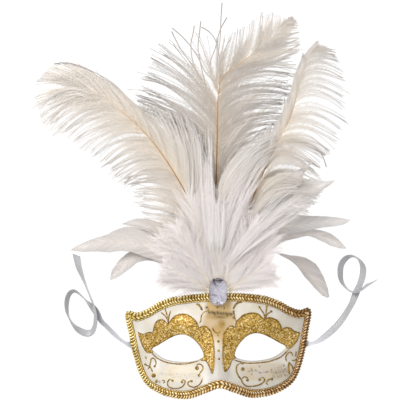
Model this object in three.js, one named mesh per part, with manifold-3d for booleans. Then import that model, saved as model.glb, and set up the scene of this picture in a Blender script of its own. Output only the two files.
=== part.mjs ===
// Feathered Venetian half mask, lying face up on a table.
// Millimetres, +Z up. X runs across the face, Y from the nose to the plumes.
// Everything is laid out from the middle of the face, and the group is moved to its origin at the end.

import * as THREE from 'three';
import { mergeVertices } from 'three/addons/utils/BufferGeometryUtils.js';
import Module from 'manifold-3d';

const wasm = await Module();
wasm.setup();

// Moulded shell
const WALL = 2.0;
const CROWN_HEIGHT = 38;
const SIDE_REACH = 79.2;
const SIDE_SPREAD = 0.185;
const SIDE_ROUNDING = 0.0006;
const DOME_RADIUS = 1.33;
const NOSE_HEIGHT = 19;
const NOSE_TOP = 26;
const NOSE_BOTTOM = -40;
const NOSE_NARROW = 11;
const NOSE_WIDE = 20;
// Swellings and hollows of the face: how far they rise, their middle to either side, and how far they spread
const BROW = { rise: 2.5, side: 34, wide: 34, y: 22, tall: 10, slope: 0.06 };
const CHEEK = { rise: 3.5, side: 36, wide: 24, y: -32, tall: 13 };
const SOCKET = { rise: -5, side: 38, wide: 26, y: -1, tall: 14 };
const FOREHEAD = { rise: -2, y: 25, tall: 25 };
const RIBBON_ROOM = { rise: 4, y: 1, tall: 10, from: 60, full: 78 };
const SHELL_ACROSS = 36;
const SHELL_UP = 16;

// Right half of the rim, from the top centre through the temple point to the nose arch
const TOP_EDGE = [
  [0, 49.2], [15, 48.9], [30, 47.6], [44, 45.2], [56, 40.4], [66, 34.6], [75, 31.6], [82.4, 33.2],
];
const SIDE_EDGE = [[82.4, 33.2], [85, 28.5], [82.2, 13], [78.6, -6], [73.4, -23.5], [66.4, -35]];
const LOWER_EDGE = [[66.4, -35], [54, -42.6], [40, -46.2], [27, -46.2], [13, -41], [0, -36.6]];

// Right eye opening, from its outer corner over the upper lid
const EYE_OUTLINE = [
  [62, -1.8], [55, 2.8], [47, 7.6], [39.5, 11.2], [33, 12.1], [27, 10.3], [21.7, 6.2], [17.4, 0.8],
  [14.8, -5.4], [15.3, -9.3], [24, -12.4], [33, -13.2], [43, -12.3], [51, -10.3], [57.5, -6.4],
];
const EYE_STEPS = 30;

// Gimp braid round the rim
const BRAID_WIDTH = 7.0;
const BRAID_THICKNESS = 1.7;
// Section of the braid: share of its width and share of its thickness, with a ridge on each side of a groove
const BRAID_SECTION = [[0, 0], [1, 0], [0.78, 1], [0.5, 0.6], [0.22, 1]];
// The braid leans with the face this far in from the rim
const BRAID_LEAN_AT = 3;
const BRAID_INSET = 0.4;
const BRAID_STANDOFF = 0.5;
const BRAID_STEPS = 112;
const GAP = 0.3;

// Long stone: an oval squared off towards an octagon
const GEM_WIDTH = 17;
const GEM_LENGTH = 26;
const GEM_HEIGHT = 6.5;
const GEM_SQUARING = 0.72;
const GEM_SIDES = 16;
// Its rings from the back to the table: share of the width and length, share of the height, turn in steps
const GEM_RINGS = [[0.92, 0, 0], [1, 0.2, 0], [0.97, 0.4, 0], [0.8, 0.8, 0.5], [0.56, 1, 0]];
const GEM_LOW_Y = 38.5;
const GEM_TILT = 14;

// Feather bundle behind the top edge
const ROOT_Y = 45;
const QUILL = 1.2;
const BARB_EDGE = 0.7;
const FULL_DROOP_AT = 40;
const LEAST_CLEARANCE = 0.05;

// Satin ribbons
const RIBBON_WIDTH = 6.35;
const RIBBON_THICKNESS = 0.5;
const RIBBON_STEPS = 64;

const shellMaterial = new THREE.MeshStandardMaterial({ color: 0xefe6d6, roughness: 0.5, metalness: 0 });
const braidMaterial = new THREE.MeshStandardMaterial({ color: 0xb08a3a, roughness: 0.4, metalness: 0.8 });
const gemMaterial = new THREE.MeshStandardMaterial({ color: 0xcfcbd6, roughness: 0.05, metalness: 0.1 });
const plumeMaterial = new THREE.MeshStandardMaterial({ color: 0xe4dcd0, roughness: 0.9, metalness: 0 });
const hackleMaterial = new THREE.MeshStandardMaterial({ color: 0xe3dfdc, roughness: 0.7, metalness: 0 });
const marabouMaterial = new THREE.MeshStandardMaterial({ color: 0xe6dcda, roughness: 0.95, metalness: 0 });
const ribbonMaterial = new THREE.MeshStandardMaterial({ color: 0xd6d6d8, roughness: 0.35, metalness: 0 });

const bell = (distance, width) => Math.exp(-(distance / width) * (distance / width));
const mirrored = (points) => points.map(([x, y]) => [-x, y]).reverse();
const lerp = THREE.MathUtils.lerp;
const smoothstep = THREE.MathUtils.smoothstep;

// Height of the mask's outer face above the table at a plan point.
function faceHeight(x, y) {
  const side = Math.abs(x);
  const reach = SIDE_REACH + SIDE_SPREAD * y - SIDE_ROUNDING * y * y;
  const across = Math.min(side / reach, 1.1);
  const rim = Math.sqrt(DOME_RADIUS * DOME_RADIUS - 1);
  const dome = (Math.sqrt(DOME_RADIUS * DOME_RADIUS - across * across) - rim) / (DOME_RADIUS - rim);
  const noseGrowth = smoothstep(NOSE_TOP - y, 0, NOSE_TOP - NOSE_BOTTOM);
  const nose = NOSE_HEIGHT * noseGrowth * bell(x, lerp(NOSE_NARROW, NOSE_WIDE, noseGrowth));
  const browY = BROW.y - side * BROW.slope;
  const brow = BROW.rise * bell(y - browY, BROW.tall) * bell(side - BROW.side, BROW.wide);
  const cheek = CHEEK.rise * bell(side - CHEEK.side, CHEEK.wide) * bell(y - CHEEK.y, CHEEK.tall);
  const socket = SOCKET.rise * bell(side - SOCKET.side, SOCKET.wide) * bell(y - SOCKET.y, SOCKET.tall);
  const forehead = FOREHEAD.rise * Math.pow(Math.max(y - FOREHEAD.y, 0) / FOREHEAD.tall, 2);
  const ribbonRoom = smoothstep(side, RIBBON_ROOM.from, RIBBON_ROOM.full);
  const ribbonGap = RIBBON_ROOM.rise * bell(y - RIBBON_ROOM.y, RIBBON_ROOM.tall) * ribbonRoom;
  return CROWN_HEIGHT * dome + nose + brow + cheek + socket + forehead + ribbonGap;
}

// Unit normal of the outer face, pointing out of the mask.
function faceNormal(x, y) {
  const step = 0.05;
  const slopeX = (faceHeight(x + step, y) - faceHeight(x - step, y)) / (2 * step);
  const slopeY = (faceHeight(x, y + step) - faceHeight(x, y - step)) / (2 * step);
  return new THREE.Vector3(-slopeX, -slopeY, 1).normalize();
}

// Point on the outer face, raised along its normal.
function onFace(x, y, raise) {
  return new THREE.Vector3(x, y, faceHeight(x, y)).addScaledVector(faceNormal(x, y), raise);
}

function planCurve(points, closed = false) {
  const corners = points.map(([x, y, z = 0]) => new THREE.Vector3(x, y, z));
  const curve = new THREE.CatmullRomCurve3(corners, closed, 'catmullrom', 0.5);
  curve.arcLengthDivisions = 400;
  return curve;
}

// The mesh with its faces turned outwards.
function outward(geometry) {
  const position = geometry.getAttribute('position');
  const index = geometry.getIndex();
  const a = new THREE.Vector3();
  const b = new THREE.Vector3();
  const c = new THREE.Vector3();
  let volume = 0;
  for (let i = 0; i < index.count; i += 3) {
    a.fromBufferAttribute(position, index.getX(i));
    b.fromBufferAttribute(position, index.getX(i + 1));
    c.fromBufferAttribute(position, index.getX(i + 2));
    volume += a.dot(b.cross(c));
  }
  if (volume < 0) {
    for (let i = 0; i < index.count; i += 3) {
      const second = index.getX(i + 1);
      index.setX(i + 1, index.getX(i + 2));
      index.setX(i + 2, second);
    }
  }
  geometry.computeVertexNormals();
  return geometry;
}

function solidFrom(points, triangles) {
  const geometry = new THREE.BufferGeometry().setFromPoints(points);
  geometry.setIndex(triangles);
  return outward(geometry);
}

// Closed sheet: a front and a back grid of the same size, joined all round their border.
function sheet(rows, columns, front, back) {
  const points = [];
  for (const side of [front, back]) {
    for (let i = 0; i <= rows; i++) {
      for (let j = 0; j <= columns; j++) points.push(side(i, j));
    }
  }
  const at = (side, i, j) => side * (rows + 1) * (columns + 1) + i * (columns + 1) + j;
  const triangles = [];
  const quad = (a, b, c, d) => triangles.push(a, b, c, a, c, d);
  for (let i = 0; i < rows; i++) {
    for (let j = 0; j < columns; j++) {
      quad(at(0, i, j), at(0, i + 1, j), at(0, i + 1, j + 1), at(0, i, j + 1));
      quad(at(1, i, j), at(1, i, j + 1), at(1, i + 1, j + 1), at(1, i + 1, j));
    }
    quad(at(0, i, 0), at(1, i, 0), at(1, i + 1, 0), at(0, i + 1, 0));
    quad(at(0, i, columns), at(0, i + 1, columns), at(1, i + 1, columns), at(1, i, columns));
  }
  for (let j = 0; j < columns; j++) {
    quad(at(0, 0, j), at(0, 0, j + 1), at(1, 0, j + 1), at(1, 0, j));
    quad(at(0, rows, j), at(1, rows, j), at(1, rows, j + 1), at(0, rows, j + 1));
  }
  return solidFrom(points, triangles);
}

// Rings of points joined one after the other; a ring loop closes on itself, a stack gets a lid at each end.
function rings(list, loop) {
  const sides = list[0].length;
  const points = list.flat();
  const triangles = [];
  const last = loop ? list.length : list.length - 1;
  for (let i = 0; i < last; i++) {
    const here = i * sides;
    const next = ((i + 1) % list.length) * sides;
    for (let k = 0; k < sides; k++) {
      const k2 = (k + 1) % sides;
      triangles.push(here + k, here + k2, next + k2, here + k, next + k2, next + k);
    }
  }
  if (!loop) {
    const top = (list.length - 1) * sides;
    for (let k = 1; k < sides - 1; k++) {
      triangles.push(0, k + 1, k, top, top + k, top + k + 1);
    }
  }
  return solidFrom(points, triangles);
}

function toManifold(geometry) {
  const bare = geometry.clone();
  bare.deleteAttribute('normal');
  bare.deleteAttribute('uv');
  const merged = mergeVertices(bare);
  return new wasm.Manifold(new wasm.Mesh({
    numProp: 3,
    vertProperties: new Float32Array(merged.getAttribute('position').array),
    triVerts: new Uint32Array(merged.getIndex().array),
  }));
}

function fromManifold(solid) {
  const mesh = solid.getMesh();
  const geometry = new THREE.BufferGeometry();
  geometry.setAttribute('position', new THREE.Float32BufferAttribute(mesh.vertProperties, 3));
  geometry.setIndex([...mesh.triVerts]);
  geometry.computeVertexNormals();
  return geometry;
}

// Three sides of the rim; the fourth is the right side mirrored.
const topCurve = planCurve([...mirrored(TOP_EDGE), ...TOP_EDGE.slice(1)]);
const rightCurve = planCurve(SIDE_EDGE);
const lowerCurve = planCurve([...LOWER_EDGE.map(([x, y]) => [-x, y]), ...[...LOWER_EDGE].reverse().slice(1)]);

// Blank of the shell: a patch stretched between the four sides of the rim, with the wall's thickness.
function moulding() {
  const [cornerX, cornerTop] = TOP_EDGE.at(-1);
  const [footX, footY] = LOWER_EDGE[0];
  const plan = (i, j) => {
    const s = j / SHELL_ACROSS;
    const t = i / SHELL_UP;
    const top = topCurve.getPointAt(s);
    const low = lowerCurve.getPointAt(s);
    const side = rightCurve.getPointAt(t);
    const bandX = lerp(-side.x, side.x, s) - lerp(lerp(-cornerX, cornerX, s), lerp(-footX, footX, s), t);
    const bandY = side.y - lerp(cornerTop, footY, t);
    return [lerp(top.x, low.x, t) + bandX, lerp(top.y, low.y, t) + bandY];
  };
  const skin = (raise) => (i, j) => onFace(...plan(i, j), raise);
  return sheet(SHELL_UP, SHELL_ACROSS, skin(0), skin(-WALL));
}

function eyeCutter(side) {
  const outline = planCurve(EYE_OUTLINE.map(([x, y]) => [side * x, y]), true).getSpacedPoints(EYE_STEPS);
  const shape = new THREE.Shape(outline.slice(0, EYE_STEPS).map((p) => new THREE.Vector2(p.x, p.y)));
  return new THREE.ExtrudeGeometry(shape, { depth: CROWN_HEIGHT * 2, bevelEnabled: false });
}

// The shell with both eyes cut through, trimmed flat where its sides stand on the table.
function maskShell() {
  const table = new THREE.BoxGeometry(400, 400, 40);
  table.translate(0, 0, -20);
  const cut = toManifold(moulding())
    .subtract(toManifold(eyeCutter(1)))
    .subtract(toManifold(eyeCutter(-1)))
    .subtract(toManifold(table));
  return fromManifold(cut);
}

// Braid: a flat band with two rounded ridges and a groove, laid along the rim on the outer face.
function edgeBraid() {
  const half = [...TOP_EDGE, ...SIDE_EDGE.slice(1), ...LOWER_EDGE.slice(1)];
  const rim = planCurve([...half, ...mirrored(half).slice(1, -1)], true);
  const list = [];
  for (let i = 0; i < BRAID_STEPS; i++) {
    const share = i / BRAID_STEPS;
    const edge = rim.getPointAt(share);
    const forward = rim.getTangentAt(share);
    const inward = new THREE.Vector3(forward.y, -forward.x, 0);
    const normal = faceNormal(edge.x + inward.x * BRAID_LEAN_AT, edge.y + inward.y * BRAID_LEAN_AT);
    const slope = Math.hypot(normal.dot(inward), normal.z);
    const reach = Math.abs(normal.z) / slope;
    const across = ([width, raise]) => {
      const plan = edge.clone().addScaledVector(inward, (BRAID_INSET + width * BRAID_WIDTH) * reach);
      const place = onFace(plan.x, plan.y, BRAID_STANDOFF + raise * BRAID_THICKNESS);
      place.z = Math.max(place.z, GAP);
      return place;
    };
    list.push(BRAID_SECTION.map(across));
  }
  return rings(list, true);
}

// Long stone with a flat back, a girdle, two rows of facets and a table. Its lower end stands on the braid
// and its upper end leans on the feathers.
function browGem() {
  const squared = (wave) => Math.sign(wave) * Math.pow(Math.abs(wave), GEM_SQUARING);
  const ring = ([share, height, turn]) => {
    const points = [];
    for (let k = 0; k < GEM_SIDES; k++) {
      const angle = ((k + turn) / GEM_SIDES) * 2 * Math.PI;
      const x = squared(Math.cos(angle)) * GEM_WIDTH * 0.5 * share;
      const y = (1 + squared(Math.sin(angle)) * share) * GEM_LENGTH * 0.5;
      points.push(new THREE.Vector3(x, y, height * GEM_HEIGHT));
    }
    return points;
  };
  const stone = rings(GEM_RINGS.map(ring), false);
  stone.rotateX(THREE.MathUtils.degToRad(GEM_TILT));
  stone.translate(0, GEM_LOW_Y, faceHeight(0, GEM_LOW_Y + 1) + BRAID_STANDOFF + BRAID_THICKNESS + GAP);
  return stone;
}

// Value along a list of equally spaced sizes, eased from one to the next.
function along(sizes, share) {
  const place = Math.min(share, 0.9999) * (sizes.length - 1);
  const k = Math.floor(place);
  return lerp(sizes[k], sizes[k + 1], smoothstep(place - k, 0, 1));
}

// One feather: a thin closed blade along its shaft. The barbs leave the shaft at the sweep angle, and every
// feather lies on its own dish round the root, so that feathers laid one on the other stay apart.
function feather(spec) {
  const { shaft, left, right, sweep, root, rise, tip, reach, thickness, steps, droop = 0, lobes = 0 } = spec;
  const curve = planCurve(shaft);
  const fall = (root + rise * reach - tip) / (reach * reach);
  const dish = (x, y) => {
    const distance = Math.hypot(x, y - ROOT_Y);
    return root + rise * distance - fall * distance * distance;
  };
  const blade = (i, j, side) => {
    const share = i / steps;
    const middle = curve.getPointAt(share);
    const forward = curve.getTangentAt(share);
    const sideways = new THREE.Vector3(-forward.y, forward.x, 0);
    const edge = j - 1;
    const widths = edge < 0 ? left : right;
    const ripple = 1 + lobes * Math.sin(share * Math.PI * steps * 0.66);
    const length = Math.max(edge === 0 ? 0 : along(widths, share) * ripple, Math.abs(edge) * QUILL * 0.6);
    const turn = THREE.MathUtils.degToRad(sweep) * (1 - 0.5 * share);
    const place = middle.clone()
      .addScaledVector(forward, Math.cos(turn) * length)
      .addScaledVector(sideways, -edge * Math.sin(turn) * length);
    const half = edge === 0 ? lerp(QUILL, thickness, Math.min(share * 5, 1)) / 2 : BARB_EDGE / 2;
    const sag = edge === 0 ? 0 : droop * Math.min(length / FULL_DROOP_AT, 1);
    place.z = Math.max(dish(place.x, place.y) - sag, LEAST_CLEARANCE + half) + side * half;
    return place;
  };
  return sheet(steps, 2, (i, j) => blade(i, j, 1), (i, j) => blade(i, j, -1));
}

const plumeMake = { droop: 2.5, thickness: 2.4, steps: 24, lobes: 0.06 };
const plumes = {
  ostrich_plume_centre: {
    shaft: [[-1, 43], [0, 143], [2, 202], [3, 229], [8, 248], [21, 258], [41, 273], [74, 301]],
    left: [0.7, 10, 50, 84, 92, 74, 52, 30, 3], right: [0.7, 9, 38, 74, 96, 92, 58, 36, 3],
    sweep: 60, root: 26, rise: 0.12, tip: 1.4, reach: 268, ...plumeMake,
  },
  ostrich_plume_left: {
    shaft: [[-4, 44], [-15, 94], [-23, 127], [-37, 156], [-59, 194], [-80, 211], [-111, 236], [-141, 261]],
    left: [0.7, 10, 42, 64, 72, 66, 66, 54, 10], right: [0.7, 10, 20, 30, 32, 28, 20, 15, 3],
    sweep: 58, root: 29.5, rise: 0.24, tip: 1.4, reach: 262, ...plumeMake,
  },
  ostrich_plume_right: {
    shaft: [[3, 50.6], [20, 103], [36, 142], [50, 174], [65, 203], [74, 226], [85, 257], [96, 273]],
    left: [0.7, 8, 12, 18, 22, 24, 20, 14, 3], right: [0.7, 9, 20, 46, 66, 68, 58, 44, 10],
    sweep: 58, root: 30.5, rise: 0.3, tip: 14, reach: 247, ...plumeMake,
  },
};

// Long pointed cock feathers: where the shaft runs, half the blade's width, and the dish it lies on
const hackles = {
  hackle_left_upper: {
    shaft: [[-5, 46], [-34, 94], [-61, 111], [-87, 114]], half: 10, root: 24.5, rise: 0.06, tip: 14,
  },
  hackle_left_middle: {
    shaft: [[-6, 46], [-43, 83], [-80, 97], [-107, 97], [-135, 91]], half: 13, root: 22.5, rise: 0.02, tip: 5,
  },
  hackle_left_lower: {
    shaft: [[-7, 46], [-48, 79], [-71, 84], [-84, 78], [-99, 63]], half: 8, root: 20.5, rise: -0.02, tip: 1.2,
  },
  hackle_right_top: {
    shaft: [[4, 50.6], [36, 121], [64, 148], [89, 169]], half: 12, root: 33.4, rise: 0.36, tip: 44,
  },
  hackle_right_upper: {
    shaft: [[6, 50.6], [45, 111], [78, 136], [108, 150]], half: 12, root: 32, rise: 0.33, tip: 40,
  },
  hackle_right_middle: {
    shaft: [[6, 46], [40, 98], [68, 109], [96, 112], [123, 114]], half: 9, root: 24.5, rise: 0.04, tip: 9,
  },
  hackle_right_low: {
    shaft: [[7, 46], [49, 92], [77, 101], [98, 99], [119, 88]], half: 8, root: 22.5, rise: 0.02, tip: 4,
  },
  hackle_right_lower: {
    shaft: [[8, 46], [42, 83], [63, 81], [81, 67], [102, 43]], half: 10, root: 20.5, rise: -0.02, tip: 1.2,
  },
};
const HACKLE_PROFILE = [0.35, 0.8, 1, 0.95, 0.6];

// Fluffy marabou fan in front of the plumes
const MARABOU_COUNT = 11;
const MARABOU_FIRST_ANGLE = -76;
const MARABOU_STEP_ANGLE = 15.2;
const MARABOU_SHORTEST = 48;
const MARABOU_LONGEST = 108;
const MARABOU_START = [9, 50.6, 2.5];
const MARABOU_PROFILE = [0.55, 1, 1, 0.75];

function hackleSpec({ shaft, half, root, rise, tip }) {
  const end = shaft.at(-1);
  const widths = [0.6, ...HACKLE_PROFILE.map((width) => width * half), 0.4];
  return {
    shaft, left: widths, right: widths, sweep: 50, root, rise, tip,
    reach: Math.hypot(end[0], end[1] - ROOT_Y), thickness: 1.2, steps: 12,
  };
}

function marabouSpec(k) {
  const angle = THREE.MathUtils.degToRad(MARABOU_FIRST_ANGLE + MARABOU_STEP_ANGLE * k);
  const length = lerp(MARABOU_SHORTEST, MARABOU_LONGEST, Math.pow(Math.cos(angle * 0.95), 2));
  const [startSide, startY, startBow] = MARABOU_START;
  const place = (share) => [
    Math.sin(angle) * (startSide + length * share),
    startY + Math.cos(angle) * (startBow + length * share),
  ];
  const half = 12 + length * 0.08;
  const widths = [0.6, ...MARABOU_PROFILE.map((width) => width * half), 1.5];
  // Every other feather lies a little higher, so that neighbours cross without touching
  const odd = k % 2;
  return {
    shaft: [place(0), place(0.33), place(0.66), place(1)],
    left: widths, right: widths, sweep: 48, root: 35 + odd, rise: 0.42 + odd * 0.05,
    tip: 46 + odd * 4, reach: 138, thickness: 1.8, steps: 9,
  };
}

// Ribbon routes: x, y, height of the middle and lean of the band (0 lies flat, 90 stands on edge)
const ribbonLeftRoute = [
  [-70, 1.4, 6.8, 0], [-74, 1.6, 3.2, 0], [-77.2, 1.9, 1.0, 0], [-80.5, 2.2, 0.7, 0], [-85, 3.4, 0.8, 5],
  [-90.7, 7.2, 1.6, 24], [-97.1, 13.1, 2.1, 33], [-103.5, 19.8, 1.9, 30], [-108.4, 24.8, 1.2, 14],
  [-114, 34.7, 0.8, 3], [-121.3, 43.1, 1.6, 24],
  [-126, 48.1, 2.4, 46], [-130.9, 52.2, 3.2, 66], [-134.6, 52.6, 3.5, 78], [-138, 49.5, 3.5, 80],
  [-139.9, 43.4, 3.5, 78], [-140, 35.2, 3.4, 72], [-137.9, 27.7, 3.1, 62], [-134, 21.1, 2.4, 42],
  [-128.3, 16, 1.6, 24], [-121.8, 13.4, 1.4, 20], [-117, 14.8, 2.2, 38], [-114.4, 19.9, 3.4, 52],
  [-113.4, 26.5, 5.0, 60], [-114, 34.7, 6.2, 66], [-116.3, 43, 5.2, 74], [-119.5, 51.2, 4.0, 74],
  [-122.6, 59.6, 3.2, 60], [-125.7, 67.8, 2.2, 38], [-128, 76, 1.4, 20], [-128.7, 86, 0.9, 8],
];
const ribbonRightRoute = [
  [70, 1.4, 6.8, 0], [74, 1.0, 3.2, 0], [77.2, 0.9, 0.7, 0], [80.5, 0.6, 0.6, 0], [85, 0.4, 0.7, 4],
  [91.7, 2.4, 1.4, 20], [100, 8, 1.7, 26], [108.3, 15.2, 1.7, 26], [115.1, 23.3, 1.6, 24],
  [120.1, 30.7, 1.4, 20], [124.3, 37.9, 1.0, 10],
  [127.6, 46.1, 0.8, 3], [131.1, 53.5, 1.2, 16], [133.7, 60.8, 2.0, 34], [134.7, 68.1, 2.8, 54],
  [133.1, 74, 3.4, 72], [129.1, 78.9, 3.5, 80], [124, 80.6, 3.5, 80], [118.4, 78.4, 3.3, 66],
  [114.3, 72.6, 2.6, 48], [113.3, 65.3, 2.7, 48], [114, 58.6, 3.3, 58], [117.1, 52.9, 4.4, 72],
  [122, 48.4, 5.6, 80], [127.4, 47.2, 6.2, 76], [132.4, 49.2, 5.2, 70], [137.4, 52.8, 3.8, 66],
  [142.7, 56.5, 2.6, 50],
];

// Flat band carried along its route, leaning over sideways by the route's fourth value.
function ribbon(route) {
  const curve = planCurve(route);
  const leans = planCurve(route.map(([, , , lean], k) => [k, lean]));
  const station = [];
  for (let i = 0; i <= RIBBON_STEPS; i++) {
    const share = i / RIBBON_STEPS;
    const t = curve.getUtoTmapping(share, 0);
    const centre = curve.getPoint(t);
    const forward = curve.getTangent(t);
    const lean = THREE.MathUtils.degToRad(leans.getPoint(t).y);
    const lowest = Math.abs(Math.sin(lean)) * RIBBON_WIDTH * 0.5 + RIBBON_THICKNESS * 0.7;
    centre.z = Math.max(centre.z, lowest);
    const level = new THREE.Vector3(forward.y, -forward.x, 0).normalize();
    const width = level.clone().multiplyScalar(Math.cos(lean)).add(new THREE.Vector3(0, 0, Math.sin(lean)));
    const normal = new THREE.Vector3().crossVectors(width, forward).normalize();
    station.push({ centre, width, normal });
  }
  const place = (i, j, side) => station[i].centre.clone()
    .addScaledVector(station[i].width, (j - 0.5) * RIBBON_WIDTH)
    .addScaledVector(station[i].normal, side * RIBBON_THICKNESS * 0.5);
  return sheet(RIBBON_STEPS, 1, (i, j) => place(i, j, 1), (i, j) => place(i, j, -1));
}

const mask = new THREE.Group();

function add(name, geometry, material) {
  const mesh = new THREE.Mesh(geometry, material);
  mesh.name = name;
  mask.add(mesh);
  return mesh;
}

add('mask_shell', maskShell(), shellMaterial);
add('edge_braid', edgeBraid(), braidMaterial);
add('brow_gem', browGem(), gemMaterial);
for (const [name, spec] of Object.entries(plumes)) add(name, feather(spec), plumeMaterial);
for (const [name, spec] of Object.entries(hackles)) add(name, feather(hackleSpec(spec)), hackleMaterial);
for (let k = 0; k < MARABOU_COUNT; k++) {
  add(`marabou_${String(k + 1).padStart(2, '0')}`, feather(marabouSpec(k)), marabouMaterial);
}

// The origin goes under the middle of everything but the loose ribbons, which are added last.
const centre = new THREE.Box3().setFromObject(mask).getCenter(new THREE.Vector3());
add('ribbon_left', ribbon(ribbonLeftRoute), ribbonMaterial);
add('ribbon_right', ribbon(ribbonRightRoute), ribbonMaterial);
mask.position.set(-centre.x, -centre.y, 0);

export default mask;
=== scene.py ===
"""Feathered Venetian half mask lying face up: paint, glitter, scrolls, braid, stone, feathers and ribbons.

Places are in millimetres from the middle of the face: X across it, Y to the plumes, Z up off the table.
"""

import math

import bpy
import numpy as np
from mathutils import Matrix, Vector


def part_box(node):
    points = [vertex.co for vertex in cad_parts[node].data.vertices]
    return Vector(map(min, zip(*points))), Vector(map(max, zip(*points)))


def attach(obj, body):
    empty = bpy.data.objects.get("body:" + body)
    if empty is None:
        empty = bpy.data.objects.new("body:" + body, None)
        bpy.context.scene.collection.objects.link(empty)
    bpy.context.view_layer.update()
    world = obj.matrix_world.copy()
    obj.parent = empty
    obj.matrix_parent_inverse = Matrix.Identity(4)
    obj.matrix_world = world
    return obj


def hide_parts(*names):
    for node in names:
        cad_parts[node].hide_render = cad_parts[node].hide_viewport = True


bl_info = {
    "name": "Feathered half mask",
    "version": (1, 0, 0),
    "blender": (4, 5, 0),
    "location": "View3D > Sidebar > Mask",
    "description": "Builds the finish of a feathered Venetian half mask round its solids",
    "category": "Object",
}

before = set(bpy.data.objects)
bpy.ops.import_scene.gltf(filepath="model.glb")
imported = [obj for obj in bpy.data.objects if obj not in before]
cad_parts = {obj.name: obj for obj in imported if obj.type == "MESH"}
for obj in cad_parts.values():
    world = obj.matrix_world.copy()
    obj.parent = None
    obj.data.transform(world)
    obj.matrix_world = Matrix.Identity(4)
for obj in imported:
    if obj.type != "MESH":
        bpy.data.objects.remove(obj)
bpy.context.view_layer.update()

# Outlines on the plan of the face: one half of the rim and one eye
TOP_EDGE = [(0, 49.2), (15, 48.9), (30, 47.6), (44, 45.2), (56, 40.4), (66, 34.6), (75, 31.6), (82.4, 33.2)]
SIDE_EDGE = [(82.4, 33.2), (85, 28.5), (82.2, 13), (78.6, -6), (73.4, -23.5), (66.4, -35)]
LOWER_EDGE = [(66.4, -35), (54, -42.6), (40, -46.2), (27, -46.2), (13, -41), (0, -36.6)]
EYE_OUTLINE = [
    (62, -1.8), (55, 2.8), (47, 7.6), (39.5, 11.2), (33, 12.1), (27, 10.3), (21.7, 6.2), (17.4, 0.8),
    (14.8, -5.4), (15.3, -9.3), (24, -12.4), (33, -13.2), (43, -12.3), (51, -10.3), (57.5, -6.4),
]

# Where the middle of the face is in the frame, from the shell's own box
MM = 0.001
TOP_OF_SHELL = TOP_EDGE[0][1]
SHELL_LOW, SHELL_HIGH = (np.array(corner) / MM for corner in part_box("mask_shell"))
FACE_MIDDLE = np.array([(SHELL_LOW[0] + SHELL_HIGH[0]) / 2, SHELL_HIGH[1] - TOP_OF_SHELL, 0.0])
UP = np.array([0, 0, 1.0])

# Moulded shell
WALL = 2.0
CROWN_HEIGHT = 38.0
SIDE_REACH = 79.2
SIDE_SPREAD = 0.185
SIDE_ROUNDING = 0.0006
DOME_RADIUS = 1.33
FOREHEAD_Y = 25.0
FOREHEAD_FALL = 2.0
NOSE_HEIGHT = 19.0
NOSE_TOP = 26.0
NOSE_BOTTOM = -40.0
NOSE_NARROW = 11.0
NOSE_WIDE = 20.0
# Brow, cheek and eye socket on each side: height, distance out, half width, y, half height, and how far it
# runs down for each millimetre outwards
FACE_FORMS = [(2.5, 34, 34, 22, 10, 0.06), (3.5, 36, 24, -32, 13, 0.0), (-5.0, 38, 26, -1, 14, 0.0)]
# The side stands off the table where a ribbon comes out
RIBBON_LIFT = 4.0
RIBBON_EXIT_Y = 1.0

# Feather bundle
ROOT_Y = 45.0
TABLE_CLEARANCE = 0.3


# Numbers and curves

def linear(hex_colour):
    """sRGB hex to a linear colour: x / 12.92 below 0.04045, else ((x + 0.055) / 1.055) to the power 2.4."""
    parts = [int(hex_colour[i:i + 2], 16) / 255 for i in (1, 3, 5)]
    return tuple(p / 12.92 if p <= 0.04045 else ((p + 0.055) / 1.055) ** 2.4 for p in parts) + (1.0,)


def smoothstep(x, low, high):
    """3t² - 2t³, with t the share of the way from low to high, held between 0 and 1."""
    t = np.clip((x - low) / (high - low), 0, 1)
    return t * t * (3 - 2 * t)


def window(x, low, inner_low, inner_high, high):
    """0 outside low and high and 1 between the inner two, eased in between."""
    return smoothstep(x, low, inner_low) * smoothstep(-x, -high, -inner_high)


def bell(distance, width):
    """Bell curve exp(-(distance / width)²)."""
    return np.exp(-(distance / width) ** 2)


def mix(a, b, share):
    """a where share is 0, b where it is 1."""
    return a + (b - a) * share


def unit(vectors):
    """Each vector divided by its own length."""
    return vectors / np.maximum(np.linalg.norm(vectors, axis=-1, keepdims=True), 1e-12)


def catmull(points, t, closed=False):
    """Uniform Catmull-Rom spline: on each span a cubic whose slope at a point is half the step between its
    neighbours. t counts points."""
    points = np.asarray(points, float)
    count = len(points)
    if closed:
        k = np.floor(t).astype(int)
        before, first, second, after = (points[(k + shift) % count] for shift in (-1, 0, 1, 2))
    else:
        padded = np.vstack([2 * points[0] - points[1], points, 2 * points[-1] - points[-2]])
        k = np.clip(np.floor(t).astype(int), 0, count - 2)
        before, first, second, after = (padded[k + shift] for shift in (0, 1, 2, 3))
    s = (t - k)[..., None]
    straight = second - before
    square = 2 * before - 5 * first + 4 * second - after
    cube = 3 * first - before - 3 * second + after
    return 0.5 * (2 * first + straight * s + square * s ** 2 + cube * s ** 3)


def route(points, share, closed=False):
    """Point and unit tangent of the spline at shares of its length, found on a table of 2000 chords."""
    spans = len(points) if closed else len(points) - 1
    t = np.linspace(0, spans, 2001)
    dense = catmull(points, t, closed)
    length = np.concatenate([[0], np.cumsum(np.linalg.norm(np.diff(dense[:, :3], axis=0), axis=1))])
    at = np.interp(np.asarray(share) * length[-1], length, t)
    step = 0.002
    low, high = at - step, at + step
    if not closed:
        low, high = np.maximum(low, 0), np.minimum(high, spans)
    return catmull(points, at, closed), unit(catmull(points, high, closed) - catmull(points, low, closed))


def mirrored(points):
    """The points on the other side of the face, in the opposite order."""
    return [(-x, y) for x, y in points][::-1]


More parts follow.
